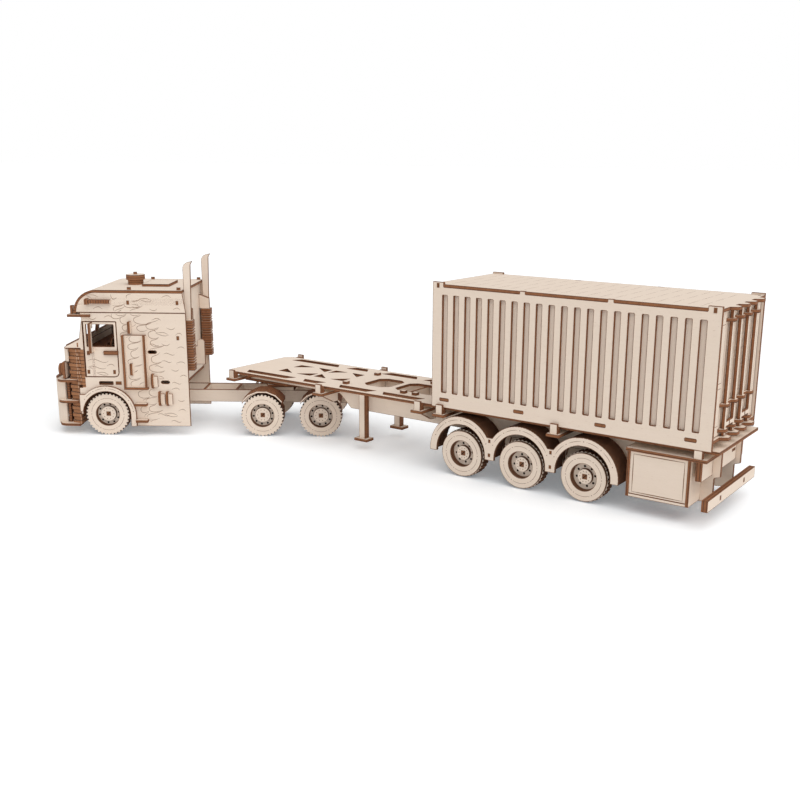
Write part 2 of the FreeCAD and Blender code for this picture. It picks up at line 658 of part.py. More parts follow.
def build_container():
    rear = box_x(box_length)
    foot = deck_top
    top = foot + box_height
    roof = top - corner_rise - ply
    floor = foot + floor_rise
    side_y = (box_half - ply, box_half)
    tab_pitch = (box_length - slot_first * 2 - tab_width - 1) / 3
    slots = [block((box_x(slot_first + slot_pitch * index + slot_width),
                    box_x(slot_first + slot_pitch * index)),
                   (side_y[0] - 1, side_y[1] + 1), (foot + slot_foot, foot + slot_top))
             for index in range(SLOTS)]
    tab_places = [slot_first - 1.8 + tab_pitch * index for index in range(4)]
    tabs = [(box_x(place + tab_width), box_x(place)) for place in tab_places]
    mortises = [block(tab, (side_y[0] - 1, side_y[1] + 1), (floor, floor + ply)) for tab in tabs]
    crest = [box_x(box_length / 3 + 4), box_x(box_length * 2 / 3 - 4)]
    outline = [(box_front, foot), (box_front, top), (box_front - corner_tab, top),
               (box_front - corner_tab, roof),
               (crest[0] + 3, roof), (crest[0] + 3, roof + ply), (crest[0] - 3, roof + ply),
               (crest[0] - 3, roof),
               (crest[1] + 3, roof), (crest[1] + 3, roof + ply), (crest[1] - 3, roof + ply),
               (crest[1] - 3, roof),
               (rear + corner_tab, roof), (rear + corner_tab, top), (rear, top), (rear, foot)]
    side = cut(plate("Y", outline, side_y), *slots, *mortises)
    node("container_side_left", side)
    node("container_side_right", mirrored(side))

    end_x = (box_x(end_inset + ply), box_x(end_inset))
    inside = box_half - ply
    door_x = rear + door_inset
    lining = block((door_x + ply + 1.6, end_x[0]), (inside - ply, inside), (floor + ply, roof))
    node("container_linings", both(lining))

    end_pitch = inside * 2 / END_SLOTS
    end_slots = [block((end_x[1] - 1.5, end_x[1] + 1),
                       (-inside + end_pitch * (index + 0.5) - 3.1, -inside + end_pitch * (index + 0.5) + 3.1),
                       (foot + slot_foot, foot + slot_top))
                 for index in range(END_SLOTS)]
    front = cut(block(end_x, (-inside, inside), (floor + ply, roof)), *end_slots)
    node("container_front", front)

    lobes = [side * place for place in (rod_outer, rod_inner) for side in (1, -1)]
    lobe_x = rear - sill_reach + 4.5
    sills = [prism("Z", 6, (lobe_x + 1, y), 6.5, (floor, floor + ply)) for y in lobes]
    floor_tabs = [block(tab, (-box_half, box_half), (floor, floor + ply)) for tab in tabs]
    floor_sheet = join(block((rear, end_x[1]), (-inside, inside), (floor, floor + ply)),
                       *floor_tabs, *sills)
    floor_holes = hinge_holes(door_x + ply / 2, (floor - 1, floor + ply + 1))
    node("container_floor", cut(floor_sheet, *floor_holes))

    heads = [prism("Z", 6, (lobe_x + 1, y), 6.5, (roof, roof + ply)) for y in lobes]
    roof_sheet = block((rear, box_front), (-box_half, box_half), (roof, roof + ply))
    notches = []
    for side in (1, -1):
        for front_x, rear_x in ((box_front + 1, box_front - corner_tab),
                                (rear + corner_tab, rear - 1),
                                (crest[0] + 3, crest[0] - 3), (crest[1] + 3, crest[1] - 3)):
            y = (box_half - ply, box_half + 1)
            if side < 0:
                y = (-y[1], -y[0])
            notches.append(block((rear_x, front_x), y, (roof - 1, roof + ply + 1)))
    roof_holes = hinge_holes(door_x + ply / 2, (roof - 1, roof + ply + 1))
    node("container_roof", cut(join(roof_sheet, *heads), *notches, *roof_holes))
    build_container_doors(door_x, floor + ply, roof)


def build_container_doors(door_x, bottom, top):
    """Two leaves hinged at the outer edges, each with two lock rods in their guides."""
    low = bottom + leaf_gap
    high = top - leaf_gap
    edge = door_hinge_y + ply / 2
    leaf = block((door_x, door_x + ply), (leaf_gap / 2, edge), (low, high))
    centre = (door_x + ply / 2, door_hinge_y)
    leaf = join(leaf, disc("Z", centre, hinge_pin, (low + 1, high + ply)),
                prism("Z", 6, centre, hinge_pin * 0.8, (low - ply, low + 1)))
    node("container_door_left", leaf)
    rods = []
    for y in (rod_outer, rod_inner):
        x = (door_x - rod_gap - ply, door_x - rod_gap)
        rods.append(block(x, (y - rod_width / 2, y + rod_width / 2), (low, high)))
        handle = (low + 8, low + 12.5)
        reach = (y - 11, y) if y is rod_outer else (y, y + 11)
        rods.append(block(x, reach, handle))
        for z in (low + 3.5, low + 27, high - 10):
            rods.append(plate("Z", [(door_x, y - 7), (door_x, y + 7), (door_x - 6.6, y + 3),
                                    (door_x - 6.6, y - 3)], (z, z + ply)))
    bridge = block((door_x - rod_gap - 1, door_x), (rod_inner, rod_outer), (low + 27, low + 27 + ply))
    lock = join(*rods, bridge)
    node("container_lock_left", lock)
    node("container_door_right", mirrored(leaf))
    node("container_lock_right", mirrored(lock))


# Tractor chassis

def cab_x(distance):
    """A place on the tractor, from its distance ahead of the front axle."""
    return front_axle + distance


def build_tractor_frame():
    inside = frame_y - ply
    outline = [(frame_rear, frame_bottom + 4), (frame_rear + 6, frame_bottom), (cab_x(22), frame_bottom),
               (cab_x(22), frame_top), (frame_rear, frame_top)]
    plain = plate("Y", outline, (inside, frame_y))
    hangers = []
    holes = []
    for x in (drive_front, drive_rear):
        foot = wheel_radius - 7
        hangers.append(plate("Y", [(x - 14, frame_bottom + 2), (x - 8, foot), (x + 8, foot),
                                   (x + 14, frame_bottom + 2)], (inside, frame_y)))
        holes.append(prism("Y", 6, (x, wheel_radius), shaft_radius + turn_gap, (inside - 1, frame_y + 1)))
    rail = cut(join(plain, *hangers), *holes)
    node("tractor_rails", both(rail), True)
    members = [block((x - ply, x), (-inside, inside), (frame_bottom, frame_top))
               for x in (frame_rear + 8, -10, 60, 100, cab_x(-40), cab_x(20))]
    node("tractor_cross_members", apart(*members), True)


def build_fifth_wheel():
    z = (fifth_top - ply, fifth_top)
    outline = [(-30, 9), (-12, 4.5), (-12, -4.5), (-30, -9), (-34, -24), (-10, -28),
               (18, -28), (22, -14), (22, 14), (18, 28), (-10, 28), (-34, 24)]
    top = cut(plate("Z", outline, z),
              prism("Z", 12, (0, 0), kingpin_radius + turn_gap, (z[0] - 1, z[1] + 1)),
              block((-14, 0), (-kingpin_radius - turn_gap, kingpin_radius + turn_gap), (z[0] - 1, z[1] + 1)))
    legs = block((-12, 14), (frame_y - ply, frame_y), (frame_top, z[0]))
    node("fifth_wheel", join(top, legs, mirrored(legs)), True)


def build_front_axle():
    """Axle beam with a fork at each end that holds the knuckle."""
    half = 32
    beam = block((cab_x(-4), cab_x(4)), (-half, half), (wheel_radius - 3, wheel_radius + 3))
    fork = join(block((cab_x(-4), cab_x(4)), (half - 3, half + 9), (wheel_radius + 7, wheel_radius + 10)),
                block((cab_x(-4), cab_x(4)), (half - 3, half + 9), (wheel_radius - 10, wheel_radius - 7)),
                block((cab_x(-4), cab_x(4)), (half - 3, half), (wheel_radius - 10, wheel_radius + 10)))
    hanger = block((cab_x(-4), cab_x(4)), (frame_y - ply, frame_y), (wheel_radius + 3, frame_bottom))
    pin_y = half + 5
    pin_hole = prism("Z", 6, (cab_x(0), pin_y), 1.5 + turn_gap / 2, (wheel_radius - 12, wheel_radius + 12))
    whole = join(beam, fork, mirrored(fork), hanger, mirrored(hanger))
    node("front_axle_beam", cut(whole, pin_hole, mirrored(pin_hole)), True)

    rim_face = tractor_wheel_y - rim_recess
    heart = block((cab_x(-3), cab_x(3)), (pin_y - 3, pin_y + 3),
                  (wheel_radius - 7 + turn_gap, wheel_radius + 7 - turn_gap))
    pin = disc("Z", (cab_x(0), pin_y), 1.5, (wheel_radius, wheel_radius + 10))
    peg = prism("Z", 6, (cab_x(0), pin_y), 1.3, (wheel_radius - 10, wheel_radius))
    stub = disc("Y", (cab_x(0), wheel_radius), stub_radius, (pin_y, rim_face - turn_gap))
    knuckle = join(heart, pin, peg, stub)
    node("knuckle_left", knuckle, True)
    node("knuckle_right", mirrored(knuckle), True)

    front = wheel(tyre_plies, False)
    bore = prism("Y", 8, (0, 0), stub_radius + turn_gap / 2, (-(ply * tyre_plies) - 1, -rim_recess))
    turning = cut(front, bore)
    node("front_wheel_left", placed(turning, cab_x(0), tractor_wheel_y, wheel_radius), True)
    node("front_wheel_right", placed(mirrored(turning), cab_x(0), -tractor_wheel_y, wheel_radius), True)


def build_drive_fenders():
    """One curved guard over each driven axle's wheels."""
    guards = []
    for x in (drive_front, drive_rear):
        y = (31, tractor_wheel_y)
        through = (y[0] - 1, y[1] + 1)
        shell = cut(prism("Y", ARCH_SIDES, (x, wheel_radius), guard_radius, y),
                    prism("Y", ARCH_SIDES, (x, wheel_radius), guard_radius - 2.2, through))
        upper = overlap(shell, block((x - 24, x + 24), through, (wheel_radius + 12, wheel_radius + 32)))
        middle = (x - ply / 2, x + ply / 2)
        stay = block(middle, (frame_y, y[0] + 2), (frame_top - 6, frame_top))
        post = block(middle, (y[0] - 1, y[0] + 2), (frame_top - 6, wheel_radius + guard_radius - 1))
        guards.append(join(upper, stay, post))
    node("drive_fenders", apart(*guards, *[mirrored(guard) for guard in guards]), True)


# Cab

def cab_hinge(low, high, play=0):
    """The upright pin at the cab door's front edge, or the hole for it."""
    centre = (cab_x(cab_door_front) - door_hinge, cab_half - ply / 2)
    if play == 0:
        return join(disc("Z", centre, hinge_pin, (low + ply * 2, high)),
                    prism("Z", 6, centre, hinge_pin * 0.8, (low, low + ply * 2)))
    return prism("Z", 6, centre, hinge_pin + play, (low, high))


def build_cab_sides():
    y = (cab_half - ply, cab_half)
    outline = [(cab_x(cab_rear), cab_bottom), (cab_x(-34), cab_bottom), (cab_x(-34), 25.5), (cab_x(31.5), 25.5),
               (cab_x(31.5), 58), (cab_x(cab_front), 58), (cab_x(cab_front), nose_top + 1.5),
               (cab_x(46), nose_top + 1.5), (cab_x(46), nose_top + 3), (cab_x(28), 116), (cab_x(23.5), 141),
               (cab_x(25), cab_joint), (cab_x(cab_rear), cab_joint)]
    panel = plate("Y", outline, y)
    through = (y[0] - 1, y[1] + 1)
    arch = prism("Y", ARCH_SIDES, (cab_x(0), wheel_radius), wheel_arch, through)
    corner = bend((cab_x(cab_door_rear) + 5, cab_door_bottom + 5), 5, 180, 270)
    opening = plate("Y", [
        *corner, (cab_x(cab_door_front), cab_door_bottom), (cab_x(cab_door_front), cab_door_top),
        (cab_x(cab_door_rear), cab_door_top)], through)
    pills = []
    for x, z in ((-57.7, 101.6), (-71.3, 65.3)):
        pills.append(plate("Y", [(cab_x(x - 5.4), z), (cab_x(x - 4), z - 1.8), (cab_x(x + 4), z - 1.8),
                                 (cab_x(x + 5.4), z), (cab_x(x + 4), z + 1.8), (cab_x(x - 4), z + 1.8)],
                           through))
    pills.append(block((cab_x(-9), cab_x(7.4)), through, (61.8, 65.6)))
    side = cut(panel, arch, opening, *pills,
               cab_hinge(cab_door_bottom - ply - 0.5, cab_door_top + ply + 0.5, hinge_play))
    node("cab_side_left", side, True)
    node("cab_side_right", mirrored(side), True)

    ring = join(prism("Y", ARCH_SIDES, (cab_x(0), wheel_radius), wheel_arch + flare_width, (y[1], y[1] + ply)),
                block((cab_x(-wheel_arch - flare_width), cab_x(0)), (y[1], y[1] + ply), (cab_bottom, wheel_radius)),
                block((cab_x(20), cab_x(31.5)), (y[1], y[1] + ply), (30, 50)))
    low = block((cab_x(0), cab_x(40)), (y[1] - 1, y[1] + ply + 1), (-20, 30))
    gap = join(prism("Y", ARCH_SIDES, (cab_x(0), wheel_radius), wheel_arch, (y[1] - 1, y[1] + ply + 1)),
               block((cab_x(-wheel_arch), cab_x(0)), (y[1] - 1, y[1] + ply + 1), (-20, wheel_radius)))
    skirt = block((cab_x(-50), cab_x(1)), (y[1] - 1, y[1] + ply + 1), (-20, cab_bottom))
    flare = cut(ring, gap, low, skirt)
    node("arch_flares", both(flare), True)


def build_side_boxes():
    face = cab_half
    out = face + ply * 2
    ribs = [block((cab_x(x - ply), cab_x(x)), (face, out), (57, 122)) for x in (-23.4, -48.4)]
    panel = block((cab_x(-48.4), cab_x(-26.4)), (face, face + ply), (57, 122))
    sill = block((cab_x(-48.4), cab_x(-26.4)), (face + ply, out), (57, 60))
    tab = block((cab_x(-34.5), cab_x(-31.5)), (face + ply, out), (74.5, 88))
    intake = block((cab_x(-34.5), cab_x(-31.5)), (face, out), (124.2, 138))
    steps = [block((cab_x(-49), cab_x(-wheel_arch - flare_width)), (face, out + 1), (z, z + ply))
             for z in (17, 37)]
    hooks = []
    for x, z in ((-55.5, 58.6), (-63, 37.4), (-72, 37.4)):
        hooks.append(plate("X", [(face, z), (face + 4, z), (out, z + 5), (out, z + 12),
                                 (face + 4, z + 17), (face, z + 17)], (cab_x(x - ply), cab_x(x))))
    side = apart(join(*ribs, panel, sill, tab), intake, *steps, *hooks)
    node("side_box_left", side, True)
    node("side_box_right", mirrored(side), True)


def build_cab_roof():
    y = (cab_half - ply, cab_half)
    inner = roof_curve - ply
    under = roof_top - ply
    curve_z = roof_top - roof_curve
    side = plate("Y", [
        (cab_x(cab_rear), cab_joint + 0.4), (cab_x(roof_bend) + inner, cab_joint + 0.4, inner),
        (cab_x(roof_bend), under), (cab_x(roof_rear), under)], y)
    trumpet = join(block((cab_x(-12), cab_x(13)), (cab_half, cab_half + 4.5), (159, 163)),
                   block((cab_x(13), cab_x(17)), (cab_half, cab_half + 5.4), (157.8, 164.2)))
    node("roof_side_left", join(side, trumpet), True)
    node("roof_side_right", mirrored(join(side, trumpet)), True)

    sheet_outline = [
        (cab_x(roof_rear), under), (cab_x(roof_bend), under, -inner),
        (cab_x(roof_bend) + inner, curve_z), (cab_x(roof_bend) + roof_curve, curve_z, roof_curve),
        (cab_x(roof_bend), roof_top), (cab_x(roof_rear), roof_top)]
    skin = plate("Y", sheet_outline, (-cab_half, cab_half))
    tabs = [block((cab_x(x - 2), cab_x(x + 2)), (side_y - 1.5, side_y + 1.5), (roof_top, roof_top + 3))
            for x in (-33, -91) for side_y in (54, -54)]
    hatch = block((cab_x(-72), cab_x(-40)), (-23, 23), (roof_top, roof_top + ply))
    node("cab_roof", join(skin, hatch, *tabs), True)

    lower = prism("Z", 16, (cab_x(-26.2), 0), 9, (roof_top, roof_top + ply * 2))
    upper = prism("Z", 16, (cab_x(-26.2), 0), 11, (roof_top + ply * 2, roof_top + ply * 4))
    pin = prism("Z", 6, (cab_x(-26.2), 0), 2, (roof_top + ply * 4, roof_top + ply * 5))
    node("roof_beacon", join(lower, upper, pin), True)

    z = (visor_bottom, visor_bottom + ply)
    edge = cab_half + 2.6
    visor = plate("Z", [(cab_x(12.6), edge), (cab_x(12.6), cab_half), (cab_x(24.7), cab_half),
                        (cab_x(24.7), -cab_half), (cab_x(12.6), -cab_half), (cab_x(12.6), -edge),
                        (cab_x(visor_front), -edge), (cab_x(visor_front), edge)], z)
    lamps = [block((cab_x(33), cab_x(33) + ply), (lamp_y - 3, lamp_y + 3), (z[1], z[1] + 10))
             for lamp_y in (-56, -28, 0, 28, 56)]
    node("sun_visor", join(visor, *lamps), True)


def build_cab_body():
    inside = cab_half - ply
    back = block((cab_x(cab_back), cab_x(cab_back) + ply), (-inside, inside), (cab_floor_z + ply, roof_top - ply))
    hose_plate = plate("Y", [(cab_x(-107), 76), (cab_x(cab_back), 76), (cab_x(cab_back), 99), (cab_x(-98), 99),
                             (cab_x(-98), 104, 4.6), (cab_x(-107), 104)], (-ply / 2, ply / 2))
    node("cab_back", join(back, hose_plate), True)
    floor = block((cab_x(cab_back), cab_x(cab_front) - ply), (-inside, inside), (cab_floor_z, cab_floor_z + ply))

    frame = plate("Y", [(cab_x(24.5), 112), (cab_x(27.8), 112), (cab_x(23.3), 141), (cab_x(24.8), 146.6),
                        (cab_x(21.8), 146.6), (cab_x(20.2), 141)], (1 - inside, inside - 1))
    panes = [block((cab_x(10), cab_x(40)), y, (118, 141)) for y in ((3, 52), (-52, -3))]
    hood = plate("Y", [(cab_x(28), 116), (cab_x(24.6), 113.5), (cab_x(24.6), nose_top), (cab_x(46), nose_top),
                       (cab_x(46), nose_top + 3)], (-inside, inside))
    node("windscreen_frame", join(cut(frame, *panes), hood), True)

    firewall = block((cab_x(cab_front) - ply, cab_x(cab_front)), (-inside, inside), (cab_floor_z, nose_top))
    node("cab_floor", join(floor, firewall), True)


def build_cab_inside():
    base = cab_floor_z + ply
    seats = []
    for y in (30, -30):
        seats.append(join(block((cab_x(-46), cab_x(-16)), (y - 14, y + 14), (base, base + 20)),
                    plate("Y", [(cab_x(-46), base + 20), (cab_x(-38), base + 20), (cab_x(-48), base + 62),
                                (cab_x(-53), base + 62)], (y - 14, y + 14))))
    node("seats", apart(*seats), True)
    wall = cab_x(cab_front) - ply
    dash = plate("Y", [(cab_x(8), 98), (wall, base + 12), (wall, nose_top), (cab_x(8), nose_top)], (-50, 50))
    ring = cut(prism("X", 12, (30, 104), 11, (cab_x(-4), cab_x(-2))),
               prism("X", 12, (30, 104), 8.6, (cab_x(-5), cab_x(-1))))
    spoke = block((cab_x(-4), cab_x(-2)), (20.5, 39.5), (102.5, 105.5))
    column = prism("X", 8, (30, 103), 1.6, (cab_x(-3), cab_x(9)))
    node("dashboard", join(dash, ring, spoke, column), True)


def build_nose():
    """Glued stack of curved layers round the nose, every second layer set back."""
    layers = []
    rear = cab_x(cab_front)
    step = (nose_top - nose_bottom) / NOSE_LAYERS
    for index in range(NOSE_LAYERS):
        back = 0 if index % 2 == 0 else 0.9
        z = (nose_bottom + step * index, nose_bottom + step * (index + 1))
        half = cab_half - 2 - back
        middle = cab_x(nose_front) - back - nose_corner
        tail = cab_x(32.5) if index <= NOSE_LAYERS // 2 else rear
        layers.append(plate("Z", [
            (tail, half), (tail, -half), *bend((middle, nose_corner - half), nose_corner, -90, 0),
            *bend((middle, half - nose_corner), nose_corner, 0, 90)], z))
    hollow = block((rear - 1, cab_x(nose_front) - 8), (-44, 44), (nose_bottom + ply, nose_top - ply))
    node("grille_stack", cut(join(*layers), hollow, *bull_rings()), True)

    front = cab_x(nose_front)
    bars = [block((front - 1, front + ply + 1), (-34, 34), (z, z + 3)) for z in (72, 78, 84, 90, 96)]
    face = block((front, front + ply), (-40, 40), (68, nose_top + 2))
    wings = [block((front, front + ply), y, (68, 88)) for y in ((39, 57), (-57, -39))]
    lamps = [prism("X", 12, (y, 78), 7, (front + ply - 1, front + 9)) for y in (48, -48)]
    node("grille_plate", join(cut(face, *bars), *wings, *lamps), True)


def bull_rings():
    """The three sheets of the bull bar that are let into the grille's stack."""
    front = cab_x(bar_front)
    back = cab_x(36)
    half = cab_half - 2
    rings = []
    for z in (nose_bottom - 1.5, 38.5, bar_top - ply):
        outer = [(back, half + 2), (back, half - 12), (front - 9, half - 12), (front - 9, 12 - half),
                 (back, 12 - half), (back, -half - 2), *bend((front - 12, 10 - half), 12, -90, 0),
                 *bend((front - 12, half - 10), 12, 0, 90)]
        rings.append(plate("Z", outer, (z, z + ply)))
    return rings


def build_bull_bar():
    front = cab_x(bar_front)
    half = cab_half - 2
    bars = [block((cab_x(50), cab_x(50) + ply * 2), (y - 3, y + 3), (nose_bottom - 1.5, bar_top))
            for y in (half - 5, 5 - half)]
    face = block((front - ply, front), (-36, 36), (nose_bottom - 1.5, bar_top))
    windows = [block((front - 4, front + 1), (-28, 28), z) for z in ((16, 35), (44, 62))]
    node("bull_bar", join(*bull_rings(), *bars, cut(face, *windows)), True)


def build_exhausts():
    """A bent flat pipe over a glued muffler of alternating layers."""
    x = cab_x(stack_x)
    y = (stack_y - ply / 2, stack_y + ply / 2)
    half = pipe_width / 2
    bend = 8
    pipe = plate("Y", [
        (x - half, muffler_top), (x + half, muffler_top), (x + half, pipe_top - 2, bend),
        (x + half - bend, pipe_top + 6), (x - half - 4, pipe_top + 7), (x - half - 1.5, pipe_top + 2.5)], y)
    step = (muffler_top - muffler_bottom) / (MUFFLER_STEPS * 2 - 1)
    layers = []
    for index in range(MUFFLER_STEPS * 2 - 1):
        wide = muffler_half if index % 2 == 0 else muffler_half - 1
        z = (muffler_bottom + step * index, muffler_bottom + step * (index + 1))
        layers.append(block((x - wide, x + wide), (stack_y - wide, stack_y + wide), z))
    bracket = plate("Y", [(x - 5, muffler_top), (cab_x(cab_back), muffler_top), (cab_x(cab_back), 157),
                          (x - 5, 152)], (y[0] - ply, y[0]))
    exhaust = join(pipe, *layers, bracket)
    node("exhaust_left", exhaust, True)
    node("exhaust_right", mirrored(exhaust), True)


def build_cab_doors():
    y = (cab_half - ply, cab_half)
    gap = leaf_gap
    rear = cab_x(cab_door_rear) + gap
    front = cab_x(cab_door_front) - door_hinge + hinge_pin + 0.3
    low = cab_door_bottom + gap
    high = cab_door_top - gap
    radius = 5 - gap
    leaf = plate("Y", [*bend((rear + radius, low + radius), radius, 180, 270), (front, low), (front, high),
                       (rear, high)], y)
    window = block((rear + window_post, front - window_post), (y[0] - 1, y[1] + 1),
                   (window_sill, high - window_post))
    handle = block((cab_x(-17), cab_x(-1)), (y[1], y[1] + ply), (99, 102))
    mirror = block((cab_x(11), cab_x(11) + ply), (y[1], y[1] + 9), (101, 136))
    hole = block((cab_x(10), cab_x(15)), (y[1] - 1, y[1] + 5), (108, 130))
    door = join(cut(leaf, window), handle, cut(mirror, hole),
                cab_hinge(cab_door_bottom - ply, cab_door_top + ply))
    node("cab_door_left", door, True)
    node("cab_door_right", mirrored(door), True)


build_trailer_frame()
build_deck()
build_coupler()
build_bolsters()
build_fenders()
build_toolboxes()
build_rear_end()
build_landing_legs()
build_container()
build_trailer_axles()
build_tractor_frame()
build_fifth_wheel()
build_front_axle()
build_drive_axles()
build_drive_fenders()
build_cab_sides()
build_side_boxes()
build_cab_roof()
build_cab_body()
build_cab_inside()
build_nose()
build_bull_bar()
build_exhausts()
build_cab_doors()

doc.recompute()

os.makedirs("parts", exist_ok=True)
for piece in PARTS:
    if "Invalid" in piece.State or piece.Shape.isNull() or not piece.Shape.isValid():
        raise ValueError(f"{piece.Label} has no valid shape: {piece.State}")
    piece.Shape.exportStep(f"parts/{piece.Label}.step")
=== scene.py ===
import json
import math

import bmesh
import bpy
from mathutils import Matrix, Vector


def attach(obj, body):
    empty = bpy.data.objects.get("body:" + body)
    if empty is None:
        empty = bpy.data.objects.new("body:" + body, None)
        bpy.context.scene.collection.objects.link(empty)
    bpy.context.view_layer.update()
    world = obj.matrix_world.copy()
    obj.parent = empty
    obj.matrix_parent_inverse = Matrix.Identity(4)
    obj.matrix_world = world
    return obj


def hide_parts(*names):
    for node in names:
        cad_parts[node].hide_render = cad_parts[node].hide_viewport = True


bl_info = {
    "name": "Plywood Lorry Finish",
    "version": (1, 0, 0),
    "blender": (4, 5, 0),
    "location": "View3D > Sidebar > Lorry",
    "description": "Birch faces, burnt edges and engravings for a plywood model lorry",
    "category": "Object",
}

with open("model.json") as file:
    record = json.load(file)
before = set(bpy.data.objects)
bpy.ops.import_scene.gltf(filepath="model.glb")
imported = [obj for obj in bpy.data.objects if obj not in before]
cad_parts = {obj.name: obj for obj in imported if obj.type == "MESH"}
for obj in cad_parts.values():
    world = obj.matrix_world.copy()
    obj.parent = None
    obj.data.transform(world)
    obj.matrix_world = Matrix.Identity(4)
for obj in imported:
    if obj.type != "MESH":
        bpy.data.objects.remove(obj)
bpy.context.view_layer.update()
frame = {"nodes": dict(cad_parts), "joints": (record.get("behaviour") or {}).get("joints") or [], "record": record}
MM = 0.001
TURN = math.radians(34.5)
PIN = {joint["name"]: joint for joint in frame["joints"]}["kingpin_turn"]["pos_m"]
# Millimetres: lengths from the kingpin, widths from the middle and heights from the floor
FRONT_AXLE = 206.4
BOGIE = (-298.0, -368.6, -439.2)
DRIVES = (21.0, -49.0)
VALLEYS = ((BOGIE[0] + BOGIE[1]) / 2, (BOGIE[1] + BOGIE[2]) / 2)
AXLE_HEIGHT = 25.5
SHEET = 3.0
RAIL_FACE = 30.0
TRAILER_FACE = 60.0
CONTAINER_FACE = 61.0
CAB_FACE = 60.0
FLARE_FACE = 63.0
TOOLBOX_FACE = 59.4
CONTAINER_REAR = -562.0
CONTAINER_TOP = 202.0
# The share along an axis that the normal of a face lying across it has at least
ACROSS = 0.72
# Past every piece: the reach of a box that is open on a side
WIDE = 1000.0


# Places: millimetres from the kingpin, for the trailer as it stands and for the tractor ahead of it

def place(body):
    """Matrix from a drawing in millimetres about the kingpin to the lorry's frame in metres."""
    turn = TURN if body == "tractor" else 0.0
    return (Matrix.Translation((PIN[0], PIN[1], 0.0)) @ Matrix.Rotation(turn, 4, "Z")
            @ Matrix.Scale(MM, 4))


def steered(side):
    return {1: "left", -1: "right"}[side]


def spot(drawn, x, y, z):
    """Matrix that moves a mesh drawn about the origin to a place in a drawing."""
    return place(drawn) @ Matrix.Translation((x, y, z))


def on_side(drawn, side, x, level, z):
    """The same on the left (1) or the right (-1) side, with the mesh's top outwards."""
    return spot(drawn, x, side * level, z) @ Matrix.Rotation(math.radians(-90 * side), 4, "X")


# Shader maths on sockets

def feed(tree, value, socket):
    """Link a wire into a socket, or write a plain value there."""
    if isinstance(value, Wire):
        tree.links.new(value.socket, socket)
    else:
        socket.default_value = value


class Wire:
    """A socket in a material's tree, with arithmetic that adds Math nodes."""

    def __init__(self, tree, socket):
        self.tree = tree
        self.socket = socket

    def math(self, operation, *values):
        maker = self.tree.nodes.new("ShaderNodeMath")
        maker.operation = operation
        for index, value in enumerate((self, *values)):
            feed(self.tree, value, maker.inputs[index])
        return Wire(self.tree, maker.outputs[0])

    def flipped(self, operation, value):
        maker = self.tree.nodes.new("ShaderNodeMath")
        maker.operation = operation
        maker.inputs[0].default_value = value
        self.tree.links.new(self.socket, maker.inputs[1])
        return Wire(self.tree, maker.outputs[0])

    def __add__(self, other):
        return self.math("ADD", other)

    def __radd__(self, other):
        return self.math("ADD", other)

    def __sub__(self, other):
        return self.math("SUBTRACT", other)

    def __rsub__(self, other):
        return self.flipped("SUBTRACT", other)

    def __mul__(self, other):
        return self.math("MULTIPLY", other)

    def __rmul__(self, other):
        return self.math("MULTIPLY", other)

    def __truediv__(self, other):
        return self.math("DIVIDE", other)

    def above(self, limit):
        return self.math("GREATER_THAN", limit)

    def near(self, centre, reach):
        return self.math("COMPARE", centre, reach)

    def size(self):
        return self.math("ABSOLUTE")

    def fraction(self):
        return self.math("FRACT")


class Finish:
    """A new material and the one way its nodes are added."""

    def __init__(self, name):
        self.material = bpy.data.materials.new(name)
        self.material.use_nodes = True
        self.tree = self.material.node_tree
        self.tree.nodes.clear()
        self.shader = self.tree.nodes.new("ShaderNodeBsdfPrincipled")
        output = self.tree.nodes.new("ShaderNodeOutputMaterial")
        self.tree.links.new(self.shader.outputs[0], output.inputs[0])

    def add(self, kind, settings=(), inputs=(), output=0):
        maker = self.tree.nodes.new(kind)
        for name, value in dict(settings).items():
            setattr(maker, name, value)
        for name, value in dict(inputs).items():
            feed(self.tree, value, maker.inputs[name])
        return Wire(self.tree, maker.outputs[output])

    def mix(self, factor, first, second):
        maker = self.tree.nodes.new("ShaderNodeMix")
        maker.data_type = "RGBA"
        for index, value in ((0, factor), (6, first), (7, second)):
            feed(self.tree, value, maker.inputs[index])
        return Wire(self.tree, maker.outputs[2])

    def axes(self, vector):
        maker = self.tree.nodes.new("ShaderNodeSeparateXYZ")
        self.tree.links.new(vector.socket, maker.inputs[0])
        return [Wire(self.tree, maker.outputs[index]) for index in range(3)]

    def set(self, **inputs):
        for name, value in inputs.items():
            feed(self.tree, value, self.shader.inputs[name.replace("_", " ")])


def colour(prop):
    return (prop[0], prop[1], prop[2], 1.0)


PLYWOOD = {}


